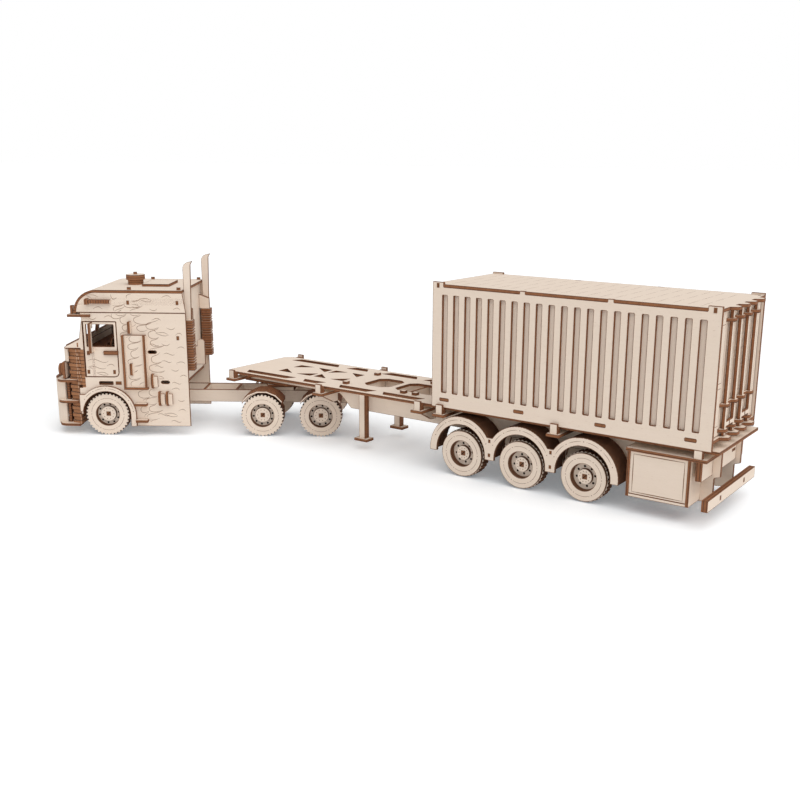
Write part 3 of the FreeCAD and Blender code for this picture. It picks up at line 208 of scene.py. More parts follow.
def plywood(body, axis, patches=(), pitch=SHEET, start=0.0, warm=0.0):
    """Birch sheet: pale grained faces across its axis, burnt layered edges elsewhere.

    patches are boxes (lowest, highest, axis) in millimetres, where a sheet of the same node lies
    another way; a bent sheet is pale on every upright face. warm lightens its edges; where it is
    negative it darkens them towards the burnt colour, painted shade on the fenders and the tyres."""
    key = (body, axis, tuple(patches), pitch, start, warm)
    if key in PLYWOOD:
        return PLYWOOD[key]
    looks = bpy.context.scene.lorry_looks
    finish = Finish(f"plywood_{body}_{len(PLYWOOD) + 1}")
    turn = TURN if body == "tractor" else 0.0
    back = Matrix.Rotation(-turn, 3, "Z") @ Vector((PIN[0], PIN[1], 0.0))
    coordinates = finish.tree.nodes.new("ShaderNodeTexCoord")
    point = finish.add("ShaderNodeMapping", {"vector_type": "POINT"},
                       {"Vector": Wire(finish.tree, coordinates.outputs["Object"]),
                        "Location": -back, "Rotation": (0.0, 0.0, -turn)})
    normal = finish.add("ShaderNodeMapping", {"vector_type": "VECTOR"},
                        {"Vector": Wire(finish.tree, coordinates.outputs["Normal"]),
                         "Rotation": (0.0, 0.0, -turn)})
    where = [value * 1000.0 for value in finish.axes(point)]
    facing = [value.size().above(ACROSS) for value in finish.axes(normal)]
    index = "XYZ".index(axis) if axis != "bent" else 2
    pale = facing[index] if axis != "bent" else 1.0 - facing[index]
    depth = (where[index if axis != "bent" else 0] - start) / pitch
    for low, high, other in patches:
        inside = 1.0
        for number, value in enumerate(where):
            if high[number] - low[number] < WIDE:
                middle = (low[number] + high[number]) / 2
                inside = value.near(middle, (high[number] - low[number]) / 2 + 0.05) * inside
        which = "XYZ".index(other)
        pale = pale * (1.0 - inside) + facing[which] * inside
        depth = depth * (1.0 - inside) + inside * (where[which] / SHEET)

    along = (1.0, 9.0, 9.0) if axis in "YZ" else (9.0, 9.0, 1.0)
    grain_place = finish.add("ShaderNodeVectorMath", {"operation": "MULTIPLY"},
                             {0: point, 1: along})
    grain = finish.add("ShaderNodeTexNoise", {"noise_dimensions": "3D"},
                       {"Vector": grain_place, "Scale": 42.0, "Detail": 6.0, "Roughness": 0.62})
    cloud = finish.add("ShaderNodeTexNoise", {}, {"Vector": point, "Scale": 13.0, "Detail": 2.0})
    pores = finish.add("ShaderNodeTexNoise", {},
                       {"Vector": grain_place, "Scale": 230.0, "Detail": 2.0})
    face = finish.mix(grain, colour(looks.face_dark), colour(looks.face_light))
    face = finish.mix(cloud * 0.35, face, colour(looks.face_warm))
    face = finish.mix(pores.above(0.69) * 0.22, face, colour(looks.edge_light))

    streak_place = finish.add("ShaderNodeVectorMath", {"operation": "MULTIPLY"},
                              {0: point, 1: tuple(0.15 if name == axis else 1.0 for name in "XYZ")})
    streaks = finish.add("ShaderNodeTexNoise", {},
                         {"Vector": streak_place, "Scale": 240.0, "Detail": 3.0, "Roughness": 0.7})
    layer = depth.fraction()
    joint = layer.near(0.0, 0.09) + layer.near(1.0, 0.09)
    core = layer.near(0.36, 0.09) + layer.near(0.68, 0.07)
    edge = finish.mix(streaks, colour(looks.edge_dark), colour(looks.edge_light))
    edge = finish.mix(core * 0.55, edge, colour(looks.edge_light))
    # Negative warm darkens the edges towards the burnt colour: painted shade on the fenders and tyres
    edge = finish.mix(abs(warm), edge, colour(looks.edge_warm if warm > 0 else looks.edge_burnt_and_shade))
    edge = finish.mix(joint * 0.85, edge, colour(looks.edge_burnt_and_shade))
    finish.set(Base_Color=finish.mix(pale, edge, face),
               Roughness=0.55 + grain * 0.2 + (1.0 - pale) * 0.12,
               Normal=finish.add("ShaderNodeBump", {},
                                 {"Strength": 0.18, "Distance": 0.0003,
                                  "Height": grain + joint * (1.0 - pale) * -1.6}))
    finish.shader.inputs["Specular IOR Level"].default_value = 0.28
    PLYWOOD[key] = finish.material
    return finish.material


PLAIN = {}


def stain(name, dark, light, rough=0.75):
    """Scorched wood of an engraved line or a tenon's end."""
    if name in PLAIN:
        return PLAIN[name]
    finish = Finish(name)
    coordinates = finish.tree.nodes.new("ShaderNodeTexCoord")
    point = Wire(finish.tree, coordinates.outputs["Object"])
    spots = finish.add("ShaderNodeTexNoise", {},
                       {"Vector": point, "Scale": 310.0, "Detail": 4.0, "Roughness": 0.7})
    finish.set(Base_Color=finish.mix(spots, colour(dark), colour(light)),
               Roughness=rough + spots * 0.1,
               Normal=finish.add("ShaderNodeBump", {},
                                 {"Strength": 0.2, "Distance": 0.0002, "Height": spots}))
    finish.shader.inputs["Specular IOR Level"].default_value = 0.2
    PLAIN[name] = finish.material
    return finish.material


# Engraved lines; the wheels' dark rings of painted shade are made of this material too
def engraving_and_shade():
    looks = bpy.context.scene.lorry_looks
    return stain("engraved_line_and_shade", looks.line_and_shade_dark, looks.line_and_shade_light)


# Tenon ends; the nose's slabs of painted shade use this material too
def tenon_and_shade_wood():
    looks = bpy.context.scene.lorry_looks
    return stain("tenon_end_and_shade", looks.edge_burnt_and_shade, looks.edge_light)


# Mesh helpers

def new_piece(name, points, faces, body, material):
    mesh = bpy.data.meshes.new(name)
    mesh.from_pydata(points, [], faces)
    mesh.update()
    piece = bpy.data.objects.new(name, mesh)
    bpy.context.scene.collection.objects.link(piece)
    piece.data.materials.append(material)
    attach(piece, body)
    return piece


def smooth(points, steps=6):
    """A soft line through points."""
    count = len(points)
    line = []
    for index in range(count - 1):
        around = [points[max(0, min(count - 1, index + offset))] for offset in (-1, 0, 1, 2)]
        for step in range(steps):
            t = step / steps
            line.append(tuple(
                0.5 * (2 * b + (c - a) * t + (2 * a - 5 * b + 4 * c - d) * t ** 2
                       + (3 * b - a - 3 * c + d) * t ** 3)
                for a, b, c, d in zip(*around)))
    line.append(points[-1])
    return line


def ribbon(line, width):
    """Left and right edge of a flat band along a line that ends in points."""
    sides = []
    count = len(line)
    for index, (x, z) in enumerate(line):
        before = line[max(0, index - 1)]
        after = line[min(count - 1, index + 1)]
        dx, dz = after[0] - before[0], after[1] - before[1]
        length = math.hypot(dx, dz) or 1.0
        taper = min(1.0, 0.35 + min(index, count - 1 - index) / 4.0)
        half = width * taper / 2
        sides.append(((x - dz / length * half, z + dx / length * half),
                      (x + dz / length * half, z - dx / length * half)))
    return sides


def engrave(name, lines, spread, body, width):
    """Flat bands on a surface; spread puts a drawing's (a, b) on it, in the lorry's frame."""
    points = []
    faces = []
    for line in lines:
        if len(line) < 2:
            continue
        for first, second in ribbon(line, width):
            points.append(spread(*first))
            points.append(spread(*second))
        start = len(points) - 2 * len(line)
        for index in range(len(line) - 1):
            a = start + 2 * index
            faces.append((a, a + 1, a + 3, a + 2))
    across = spread(1.0, 0.0) - spread(0.0, 0.0)
    up = spread(0.0, 1.0) - spread(0.0, 0.0)
    if across.cross(up).dot(spread.out) > 0:
        faces = [face[::-1] for face in faces]
    return new_piece(name, points, faces, body, engraving_and_shade())


class Spread:
    """Puts a flat drawing on a surface: (a, b) become two axes and the third is fixed."""

    def __init__(self, body, axes, level, out):
        self.matrix = place(body)
        self.axes = axes
        self.level = level
        self.out = (self.matrix.to_3x3() @ Vector(out)).normalized()

    def __call__(self, a, b):
        point = [self.level] * 3
        point["XYZ".index(self.axes[0])] = a
        point["XYZ".index(self.axes[1])] = b
        return self.matrix @ Vector(point)


def inside(box, point):
    (x0, z0), (x1, z1) = box
    return x0 <= point[0] <= x1 and z0 <= point[1] <= z1


def kept(lines, keep, leave=()):
    """The runs of the lines that lie in keep and in none of the boxes to leave."""
    runs = []
    for line in lines:
        run = []
        for point in line:
            if inside(keep, point) and not any(inside(box, point) for box in leave):
                run.append(point)
            else:
                if len(run) > 2:
                    runs.append(run)
                run = []
        if len(run) > 2:
            runs.append(run)
    return runs


# Flames, drawn on the cab's side: millimetres ahead of the front axle and above the floor

def bezier(start, leave, arrive, end, steps=9):
    """Points on a curve between two ends, drawn by two handles."""
    line = []
    for step in range(steps + 1):
        t = step / steps
        shares = ((1 - t) ** 3, 3 * (1 - t) ** 2 * t, 3 * (1 - t) * t * t, t ** 3)
        line.append(tuple(sum(share * value for share, value in zip(shares, values))
                          for values in zip(start, leave, arrive, end)))
    return line


def flame_edge(valleys, reach, lean=0.0):
    """A flame's edge as strokes from tip to tip: tips lick rearward, valleys are round."""
    tips = []
    for index, ((px, pz), (qx, qz)) in enumerate(zip(valleys, valleys[1:])):
        long = reach * (1.0 + 0.3 * math.sin(index * 2.3 + lean))
        tips.append((min(px, qx) - long, pz - (pz - qz) * 0.16 + 1.2 * math.sin(index * 1.7 + lean)))
    strokes = []
    for (tx, tz), (x, z), (sx, sz) in zip(tips, valleys[1:], tips[1:]):
        above = tz - z
        upper = bezier((tx, tz), (tx + (x - tx) * 0.3, tz - above * 0.62),
                       (x + 0.6, z + above * 0.72), (x, z))
        lower = bezier((x, z), (x - 0.4, z - 3.4), (sx + (x - sx) * 0.55, sz - 4.0), (sx, sz))
        strokes.append(upper + lower[1:])
    return strokes


def ripple(x, z, length, height):
    """A small arched stroke; a negative height hangs."""
    return [bezier((x, z), (x + length * 0.28, z + height * 1.45), (x + length * 0.55, z + height * 1.35),
                   (x + length, z + height * 0.1))]


def wave(x, z, length, height):
    """A long stroke that dips and rises."""
    return [bezier((x, z), (x + length * 0.36, z - height * 1.3), (x + length * 0.6, z + height * 1.7),
                   (x + length, z + height * 0.1), 14)]


def leaf(x, z, length, height):
    """A small closed flame with two pointed ends."""
    tip = (x + length, z + height * 0.8)
    upper = bezier((x, z), (x + length * 0.3, z + height * 1.4),
                   (x + length * 0.6, z + height * 1.1), tip)
    lower = bezier((x, z), (x + length * 0.34, z - height * 0.7),
                   (x + length * 0.66, z - height * 0.1), tip)
    return [upper, lower]


FLAME_EDGES = (
    (((-5, 184), (-9, 176), (-13, 168), (-10, 160), (-15, 152), (-12, 144), (-17, 136)), 10, 0.4),
    (((-14, 156), (-17, 148), (-22, 139), (-24, 130), (-21, 121), (-25, 112)), 9, 1.3),
    (((-22, 184), (-26, 175), (-31, 166), (-28, 157), (-34, 148), (-38, 139), (-41, 130),
      (-38, 120)), 14, 2.2),
    (((-48, 142), (-52, 132), (-54, 122), (-56, 112), (-53, 102), (-56, 92), (-53, 82),
      (-55, 72), (-50, 62), (-51, 52), (-47, 42), (-50, 32), (-47, 22), (-50, 12)), 13, 0.9),
    (((-29, 136), (-29, 127), (-32, 117), (-30, 108), (-33, 99), (-29, 90), (-32, 81),
      (-29, 72), (-31, 63), (-29, 54)), 11, 3.1),
    (((-38, 70), (-41, 60), (-38, 50), (-43, 41), (-40, 31), (-44, 21), (-41, 11)), 8, 1.9))
RIPPLES = (
    (-70, 139, 11, 2.6), (-86, 131, 10, -2.2), (-94, 122, 8, 2.2), (-79, 112, 10, -2.4), (-96, 106, 9, 2),
    (-96, 88, 11, 2), (-88, 81, 9, -2), (-97, 72, 8, 2), (-88, 56, 10, 2.2), (-93, 44, 8, -2),
    (-94, 30, 9, 2.2), (-83, 166, 11, 2.4), (-66, 153, 9, -2), (-93, 152, 8, 2), (-50, 169, 9, 2),
    (5, 170, 10, 2.2), (-2, 152, 11, 2.6), (14, 80, 6, 2), (-12, 84, 9, 2.4), (8, 64, 12, -2.4),
    (-13, 142, 10, 2.2), (6, 142, 9, -2), (-64, 125, 8, 2.2))
WAVES = (
    (-84, 99, 13, 2.6), (-80, 90, 12, 2.4), (-5, 90, 24, 4.4), (-2, 82, 22, 3.6), (-90, 64, 11, 2.4),
    (-70, 84, 10, 2.2), (-74, 25, 14, 3), (-88, 17, 12, 2.4), (-66, 110, 11, 2.4))
LEAVES = (
    (-78, 122, 15, 3), (-60, 162, 14, 3), (-46, 155, 12, 2.6), (-4, 74, 14, 2.6), (-84, 24, 16, 3.2),
    (2, 166, 14, 2.6), (-70, 70, 10, 2.4))


def flame_drawing():
    lines = []
    for stroke, table in ((flame_edge, FLAME_EDGES), (ripple, RIPPLES), (wave, WAVES), (leaf, LEAVES)):
        for facts in table:
            lines.extend(stroke(*facts))
    return lines


# Extruded sheets

def extruded(outline, axis, low, high):
    """Points and faces of a sheet: an outline on the other two axes, given thickness along one."""
    area = sum(a[0] * b[1] - b[0] * a[1] for a, b in zip(outline, outline[1:] + outline[:1]))
    path = outline if area > 0 else outline[::-1]
    if axis == "Y":
        path = path[::-1]
    index = "XYZ".index(axis)
    points = []
    for level in (low, high):
        for pair in path:
            point = list(pair)
            point.insert(index, level)
            points.append(tuple(point))
    count = len(path)
    faces = [tuple(range(count))[::-1], tuple(range(count, 2 * count))]
    for number in range(count):
        after = (number + 1) % count
        faces.append((number, after, count + after, count + number))
    return points, faces


def brick(x, y, z):
    return extruded([(x[0], y[0]), (x[1], y[0]), (x[1], y[1]), (x[0], y[1])], "Z", *z)


def flip(part):
    """The same sheet on the other side of the lorry."""
    points, faces = part
    return [(x, -y, z) for x, y, z in points], [face[::-1] for face in faces]


def for_side(parts, side):
    """Sheets drawn for the left side, as they are there (1) or on the right (-1)."""
    return parts if side > 0 else [flip(part) for part in parts]


def assembled(name, parts, drawn, body, material, replaced=()):
    """One piece of several sheets drawn in millimetres, which may stand for CAD nodes."""
    points = []
    faces = []
    matrix = place(drawn)
    for some, sides in parts:
        start = len(points)
        points.extend(matrix @ Vector(point) for point in some)
        faces.extend(tuple(start + index for index in side) for side in sides)
    piece = new_piece(name, points, faces, body, material)
    if replaced:
        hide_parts(*replaced)
    return piece


def arc(x, z, radius, first, last, steps=24):
    """Points on an arc, from one angle to another in degrees."""
    points = []
    for index in range(steps + 1):
        angle = math.radians(first + (last - first) * index / steps)
        points.append((x + radius * math.cos(angle), z + radius * math.sin(angle)))
    return points


def scorch_strips(mesh, drawn, sheets, width):
    """Thin strips on the pale faces along every cut edge: points and faces in the lorry's frame."""
    work = bmesh.new()
    work.from_mesh(mesh)
    bmesh.ops.remove_doubles(work, verts=work.verts, dist=2e-6)
    back = place(drawn).inverted()
    spin = Matrix.Rotation(-TURN if drawn == "tractor" else 0.0, 3, "Z")

    def lies_flat(face):
        centre = back @ face.calc_center_median()
        which = sheets[0]
        for low, high, other in sheets[1]:
            if all(a - 0.05 <= c <= b + 0.05 for a, c, b in zip(low, centre, high)):
                which = other
        if which == "bent":
            return abs(face.normal.z) < 0.3
        return abs((spin @ face.normal)["XYZ".index(which)]) > ACROSS

    points = []
    faces = []
    for edge in work.edges:
        if len(edge.link_faces) != 2:
            continue
        first, second = edge.link_faces
        if first.normal.dot(second.normal) > 0.6:
            continue
        flats = [lies_flat(first), lies_flat(second)]
        if flats[0] == flats[1]:
            continue
        face = first if flats[0] else second
        a, b = edge.verts[0].co, edge.verts[1].co
        length = (b - a).length
        if length < 2e-4:
            continue
        along = (b - a) / length
        inward = face.normal.cross(along)
        if inward.dot(face.calc_center_median() - (a + b) / 2) < 0:
            inward = -inward
        reach = width * MM
        corner = min(reach, length * 0.45)
        lift = face.normal * 0.03 * MM
        quad = [a + lift, b + lift, b - along * corner + inward * reach + lift,
                a + along * corner + inward * reach + lift]
        if (quad[1] - quad[0]).cross(quad[2] - quad[0]).dot(face.normal) < 0:
            quad.reverse()
        start = len(points)
        points.extend(quad)
        faces.append((start, start + 1, start + 2, start + 3))
    work.free()
    return points, faces


# What repeats: one node tree sets a slab or a pin at every point

def repeat_tree(name, kind, shape):
    """A tree that sets one small slab or pin at each point of a ring or a row."""
    tree = bpy.data.node_groups.new(name, "GeometryNodeTree")
    inputs = {}
    for label, socket_type in (("Count", "NodeSocketInt"), ("Spacing", "NodeSocketFloat"),
                               ("Length", "NodeSocketFloat"), ("Width", "NodeSocketFloat"),
                               ("Height", "NodeSocketFloat"), ("Finish", "NodeSocketMaterial")):
        socket = tree.interface.new_socket(label, in_out="INPUT", socket_type=socket_type)
        inputs[label] = socket.identifier
    tree.interface.new_socket("Geometry", in_out="OUTPUT", socket_type="NodeSocketGeometry")
    entry = tree.nodes.new("NodeGroupInput")
    leave = tree.nodes.new("NodeGroupOutput")
    values = {label: entry.outputs[label] for label in inputs}
    if kind == "ring":
        points = tree.nodes.new("GeometryNodeMeshCircle")
        tree.links.new(values["Count"], points.inputs["Vertices"])
        tree.links.new(values["Spacing"], points.inputs["Radius"])
    else:
        points = tree.nodes.new("GeometryNodeMeshLine")
        offset = tree.nodes.new("ShaderNodeCombineXYZ")
        tree.links.new(values["Spacing"], offset.inputs["X"])
        tree.links.new(values["Count"], points.inputs["Count"])
        tree.links.new(offset.outputs[0], points.inputs["Offset"])
    if shape == "slab":
        unit = tree.nodes.new("GeometryNodeMeshCube")
        sizes = tree.nodes.new("ShaderNodeCombineXYZ")
        tree.links.new(values["Length"], sizes.inputs["X"])
        tree.links.new(values["Width"], sizes.inputs["Y"])
        tree.links.new(values["Height"], sizes.inputs["Z"])
        tree.links.new(sizes.outputs[0], unit.inputs["Size"])
    else:
        unit = tree.nodes.new("GeometryNodeMeshCylinder")
        unit.inputs["Vertices"].default_value = 14
        tree.links.new(values["Width"], unit.inputs["Radius"])
        tree.links.new(values["Height"], unit.inputs["Depth"])
    setter = tree.nodes.new("GeometryNodeInstanceOnPoints")
    tree.links.new(points.outputs[0], setter.inputs["Points"])
    tree.links.new(unit.outputs["Mesh"], setter.inputs["Instance"])
    if kind == "ring":
        where = tree.nodes.new("GeometryNodeInputPosition")
        turn = tree.nodes.new("FunctionNodeAlignRotationToVector")
        turn.axis = "X"
        turn.pivot_axis = "Z"
        tree.links.new(where.outputs[0], turn.inputs["Vector"])
        tree.links.new(turn.outputs[0], setter.inputs["Rotation"])
    real = tree.nodes.new("GeometryNodeRealizeInstances")
    paint = tree.nodes.new("GeometryNodeSetMaterial")
    tree.links.new(setter.outputs[0], real.inputs[0])
    tree.links.new(real.outputs[0], paint.inputs["Geometry"])
    tree.links.new(values["Finish"], paint.inputs["Material"])
    tree.links.new(paint.outputs[0], leave.inputs[0])
    return tree, inputs


TREES = {}


def repeated(kind, count, spacing, length, width, height, material, shape="slab"):
    """Plain mesh of count slabs or pins in a ring or a row, in millimetres about the origin."""
    key = (kind, shape)
    if key not in TREES:
        TREES[key] = repeat_tree(f"{shape}s_in_a_{kind}", kind, shape)
    tree, inputs = TREES[key]
    carrier = bpy.data.objects.new("carrier", bpy.data.meshes.new("carrier"))
    bpy.context.scene.collection.objects.link(carrier)
    modifier = carrier.modifiers.new("Repeat", "NODES")
    modifier.node_group = tree
    for label, value in (("Count", count), ("Spacing", spacing), ("Length", length),
                         ("Width", width), ("Height", height), ("Finish", material)):
        modifier[inputs[label]] = value
    depsgraph = bpy.context.evaluated_depsgraph_get()
    mesh = bpy.data.meshes.new_from_object(carrier.evaluated_get(depsgraph))
    carrier.modifiers.remove(modifier)
    bpy.data.objects.remove(carrier)
    return mesh


def turned(profile, sides=56, share=1.0):
    """Plain mesh of a profile of (radius, height), turned round the upright axis for a share of it."""
    points = []
    faces = []
    rows = sides if share == 1.0 else sides + 1
    for index in range(rows):
        angle = 2 * math.pi * share * index / sides
        points.extend((radius * math.cos(angle), radius * math.sin(angle), height)
                      for radius, height in profile)
    count = len(profile)
    for index in range(sides):
        after = (index + 1) % rows
        for step in range(count - 1):
            faces.append((index * count + step, after * count + step,
                          after * count + step + 1, index * count + step + 1))
    mesh = bpy.data.meshes.new("turned")
    mesh.from_pydata(points, [], faces)
    mesh.update()
    return mesh


def gather(name, meshes, body, material):
    """One piece of several placed meshes: pairs of (mesh, matrix)."""
    points = []
    faces = []
    for mesh, matrix in meshes:
        start = len(points)
        mirrored = matrix.determinant() < 0
        points.extend(matrix @ vertex.co for vertex in mesh.vertices)
        for polygon in mesh.polygons:
            face = [start + index for index in polygon.vertices]
            faces.append(face[::-1] if mirrored else face)
    return new_piece(name, points, faces, body, material)


# Settings

def tint(name, description, default):
    return bpy.props.FloatVectorProperty(
        name=name, description=description, subtype="COLOR", size=3, default=default)


class LorryLooks(bpy.types.PropertyGroup):
    face_light: tint("Pale face", "Lightest birch face", (0.84, 0.72, 0.61))
    face_dark: tint("Grained face", "Darker grain of the birch face", (0.76, 0.63, 0.52))
    face_warm: tint("Warm patches", "Warm clouds on the birch face", (0.78, 0.63, 0.50))
    edge_light: tint("Light edge", "Lighter wood in a cut edge", (0.33, 0.135, 0.058))
    edge_dark: tint("Dark edge", "Scorched wood of a cut edge", (0.115, 0.044, 0.021))
    edge_warm: tint("Warm edge", "Cut edges of the nose's lighter layers", (0.46, 0.22, 0.105))
    # Also painted shade: the fenders' and tyres' edges and the nose's shade slabs are darkened towards this colour
    edge_burnt_and_shade: tint("Burnt joint", "Charred line between two sheets", (0.040, 0.018, 0.011))
    # Painted shade with char: the near-black in a small hole stands for the shade inside it and its charred wall
    hole_dark: tint("Hole", "Charred wall of a small hole", (0.010, 0.005, 0.003))
    # The line colours also paint the dark rings of shade in the wheels' recesses
    line_and_shade_dark: tint("Deep line", "Dark part of an engraved line", (0.16, 0.085, 0.05))
    line_and_shade_light: tint("Faint line", "Light part of an engraved line", (0.38, 0.23, 0.15))
    line_width: bpy.props.FloatProperty(
        name="Line width", description="Width of the engraved lines, in millimetres",
        default=0.55, min=0.1, max=2.0)
    proud: bpy.props.FloatProperty(
        name="Line height", description="Engraved bands above their sheet, in millimetres",
        default=0.04, min=0.01, max=0.3)
    scorch_width: bpy.props.FloatProperty(
        name="Scorch width", description="Width of the burnt line along each cut, in millimetres",
        default=0.42, min=0.05, max=1.5)
    floor: tint("Floor", "Colour of the floor", (0.95, 0.95, 0.95))
    haze: tint("Shadow haze", "Light that the camera alone sees in the floor's shadows",
               (0.155, 0.175, 0.19))
    sky: bpy.props.FloatProperty(
        name="Sky light", description="Strength of the even light", default=0.54, min=0.0, max=2.0)
    lamp: bpy.props.FloatProperty(
        name="Lamp", description="Strength of the broad overhead light", default=1.8, min=0.0, max=5.0)


# How each node's sheets lie: its axis, and boxes where they lie another way

REBUILT = ("trailer_fender_left", "trailer_fender_right", "arch_flares", "bull_bar")


def box(x=(-WIDE, WIDE), y=(-WIDE, WIDE), z=(-WIDE, WIDE), axis="Z"):
    return ((x[0], y[0], z[0]), (x[1], y[1], z[1]), axis)


def ahead(first, second):
    return (FRONT_AXLE + first, FRONT_AXLE + second)


TOOLBOX = (box(x=(-488, -485), z=(17, 61.9), axis="X"), box(x=(-547, -544), z=(17, 61.9), axis="X"),
           box(z=(62, 65), axis="Z"), box(x=(-557, -551), z=(43, 61.9), axis="X"))
TRAILER_SHEETS = {
    "trailer_rails": ("Y", ()),
    "trailer_cross_members": ("X", ()),
    "trailer_deck": ("Z", ()),
    "kingpin_plate": ("Z", ()),
    "container_bolsters": ("Z", (box(z=(51, 62.9), axis="X"), box(z=(66.1, 76), axis="Y"))),
    # Painted shade: the fenders' edges are darkened towards the burnt colour, for the shade inside the arches
    "trailer_fender_left": ("Y", (), SHEET, 0.0, -0.6),
    "trailer_fender_right": ("Y", (), SHEET, 0.0, -0.6),
    "toolbox_left": ("Y", TOOLBOX),
    "toolbox_right": ("Y", TOOLBOX),
    "rear_bumper": ("X", ()),
    "landing_legs": ("Y", (box(z=(11, 14), axis="Z"),)),
    "container_side_left": ("Y", (), SHEET, 1.0),
    "container_side_right": ("Y", (), SHEET, -1.0),
    "container_linings": ("Y", ()),
    "container_front": ("X", ()),
    "container_floor": ("Z", (), SHEET, 2.0),
    "container_roof": ("Z", (), SHEET, 1.0),
    "container_door_left": ("X", ()),
    "container_door_right": ("X", ()),
    "trailer_axle_1": ("Y", ()),
    "trailer_axle_2": ("Y", ()),
    "trailer_axle_3": ("Y", ()),
}
GUIDES = tuple(box(z=(low, low + 3), axis="Z") for low in (87.0, 110.5, 188.5))
TRAILER_SHEETS["container_lock_left"] = ("X", GUIDES)
TRAILER_SHEETS["container_lock_right"] = ("X", GUIDES)

RIBS = (box(x=ahead(-26.5, -23.3), z=(60.1, 122.5), axis="X"),
        box(x=ahead(-51.5, -48.3), z=(60.1, 122.5), axis="X"),
        box(x=ahead(-51.5, -23.3), z=(56.9, 60), axis="Z"),
        box(x=ahead(-34.6, -31.4), z=(123, 139), axis="X"),
        box(x=ahead(-34.6, -31.4), y=(63.05, 70), z=(74, 89), axis="X"),
        box(x=ahead(-34.6, -31.4), y=(-70, -63.05), z=(74, 89), axis="X"),
        box(x=ahead(-80, -55), z=(37, 78), axis="X"), box(z=(16.9, 20.1), axis="Z"),
        box(x=ahead(-50, -20), z=(36.9, 40.1), axis="Z"))
TRACTOR_SHEETS = {
    "tractor_rails": ("Y", ()),
    "tractor_cross_members": ("X", ()),
    "fifth_wheel": ("Z", (box(z=(48, 53.5), axis="Y"),)),
    "front_axle_beam": ("X", ()),
    "knuckle_left": ("Z", ()),
    "knuckle_right": ("Z", ()),
    "front_wheel_left": ("Y", ()),
    "front_wheel_right": ("Y", ()),
    "drive_axle_front": ("Y", ()),
    "drive_axle_rear": ("Y", ()),
    "drive_fenders": ("Y", ()),
    "cab_side_left": ("Y", ()),
    "cab_side_right": ("Y", ()),
    "arch_flares": ("Y", ()),
    "side_box_left": ("Y", RIBS),
    "side_box_right": ("Y", RIBS),
    "roof_side_left": ("Y", (box(y=(60.05, 70), z=(157, 165), axis="X"),)),
    "roof_side_right": ("Y", (box(y=(-70, -60.05), z=(157, 165), axis="X"),)),
    "cab_roof": ("Z", ()),
    "roof_beacon": ("Z", (), SHEET, 0.0, 0.25),
    "sun_visor": ("Z", (box(z=(145.9, 156), axis="X"),)),
    "cab_back": ("X", (box(x=ahead(-107, -92.1), axis="Y"),)),
    "windscreen_frame": ("X", (box(x=ahead(24.7, 47), z=(103, 116.5), axis="Z"),)),
    "cab_floor": ("Z", (box(x=ahead(24, 27), z=(63.1, 104), axis="X"),)),
    "seats": ("Y", ()),
    "dashboard": ("Y", (box(x=ahead(-5, 7.9), axis="X"),)),
    "grille_stack": ("Z", (), 4.381, 12.0, 0.5),
    "grille_plate": ("X", ()),
    "bull_bar": ("Z", (box(x=ahead(49.9, 61.1), z=(13.6, 38.4), axis="X"),
                       box(x=ahead(49.9, 61.1), z=(41.6, 63.9), axis="X"))),
    "exhaust_left": ("Z", (box(z=(139.1, 210), axis="Y"),), 3.158, 79.0),
    "exhaust_right": ("Z", (box(z=(139.1, 210), axis="Y"),), 3.158, 79.0),
    "cab_door_left": ("Y", (box(x=ahead(10.9, 14.1), y=(60.05, 70), axis="X"),
                             box(x=ahead(-17.1, 2), y=(60.05, 70), z=(98.9, 102.1), axis="Z"))),
    "cab_door_right": ("Y", (box(x=ahead(10.9, 14.1), y=(-70, -60.05), axis="X"),
                             box(x=ahead(-17.1, 2), y=(-70, -60.05), z=(98.9, 102.1), axis="Z"))),
}


class LORRY_OT_finish_sheets(bpy.types.Operator):
    bl_idname = "lorry.finish_sheets"
    bl_label = "Finish the sheets"

    def execute(self, context):
        for body, sheets in (("trailer", TRAILER_SHEETS), ("tractor", TRACTOR_SHEETS)):
            for node, facts in sheets.items():
                material = plywood(body, *facts)
                for slot in frame["nodes"][node].material_slots:
                    slot.material = material
        missing = set(frame["nodes"]) - set(TRAILER_SHEETS) - set(TRACTOR_SHEETS)
        if missing:
            raise ValueError(f"no finish for {sorted(missing)}")
        return {"FINISHED"}


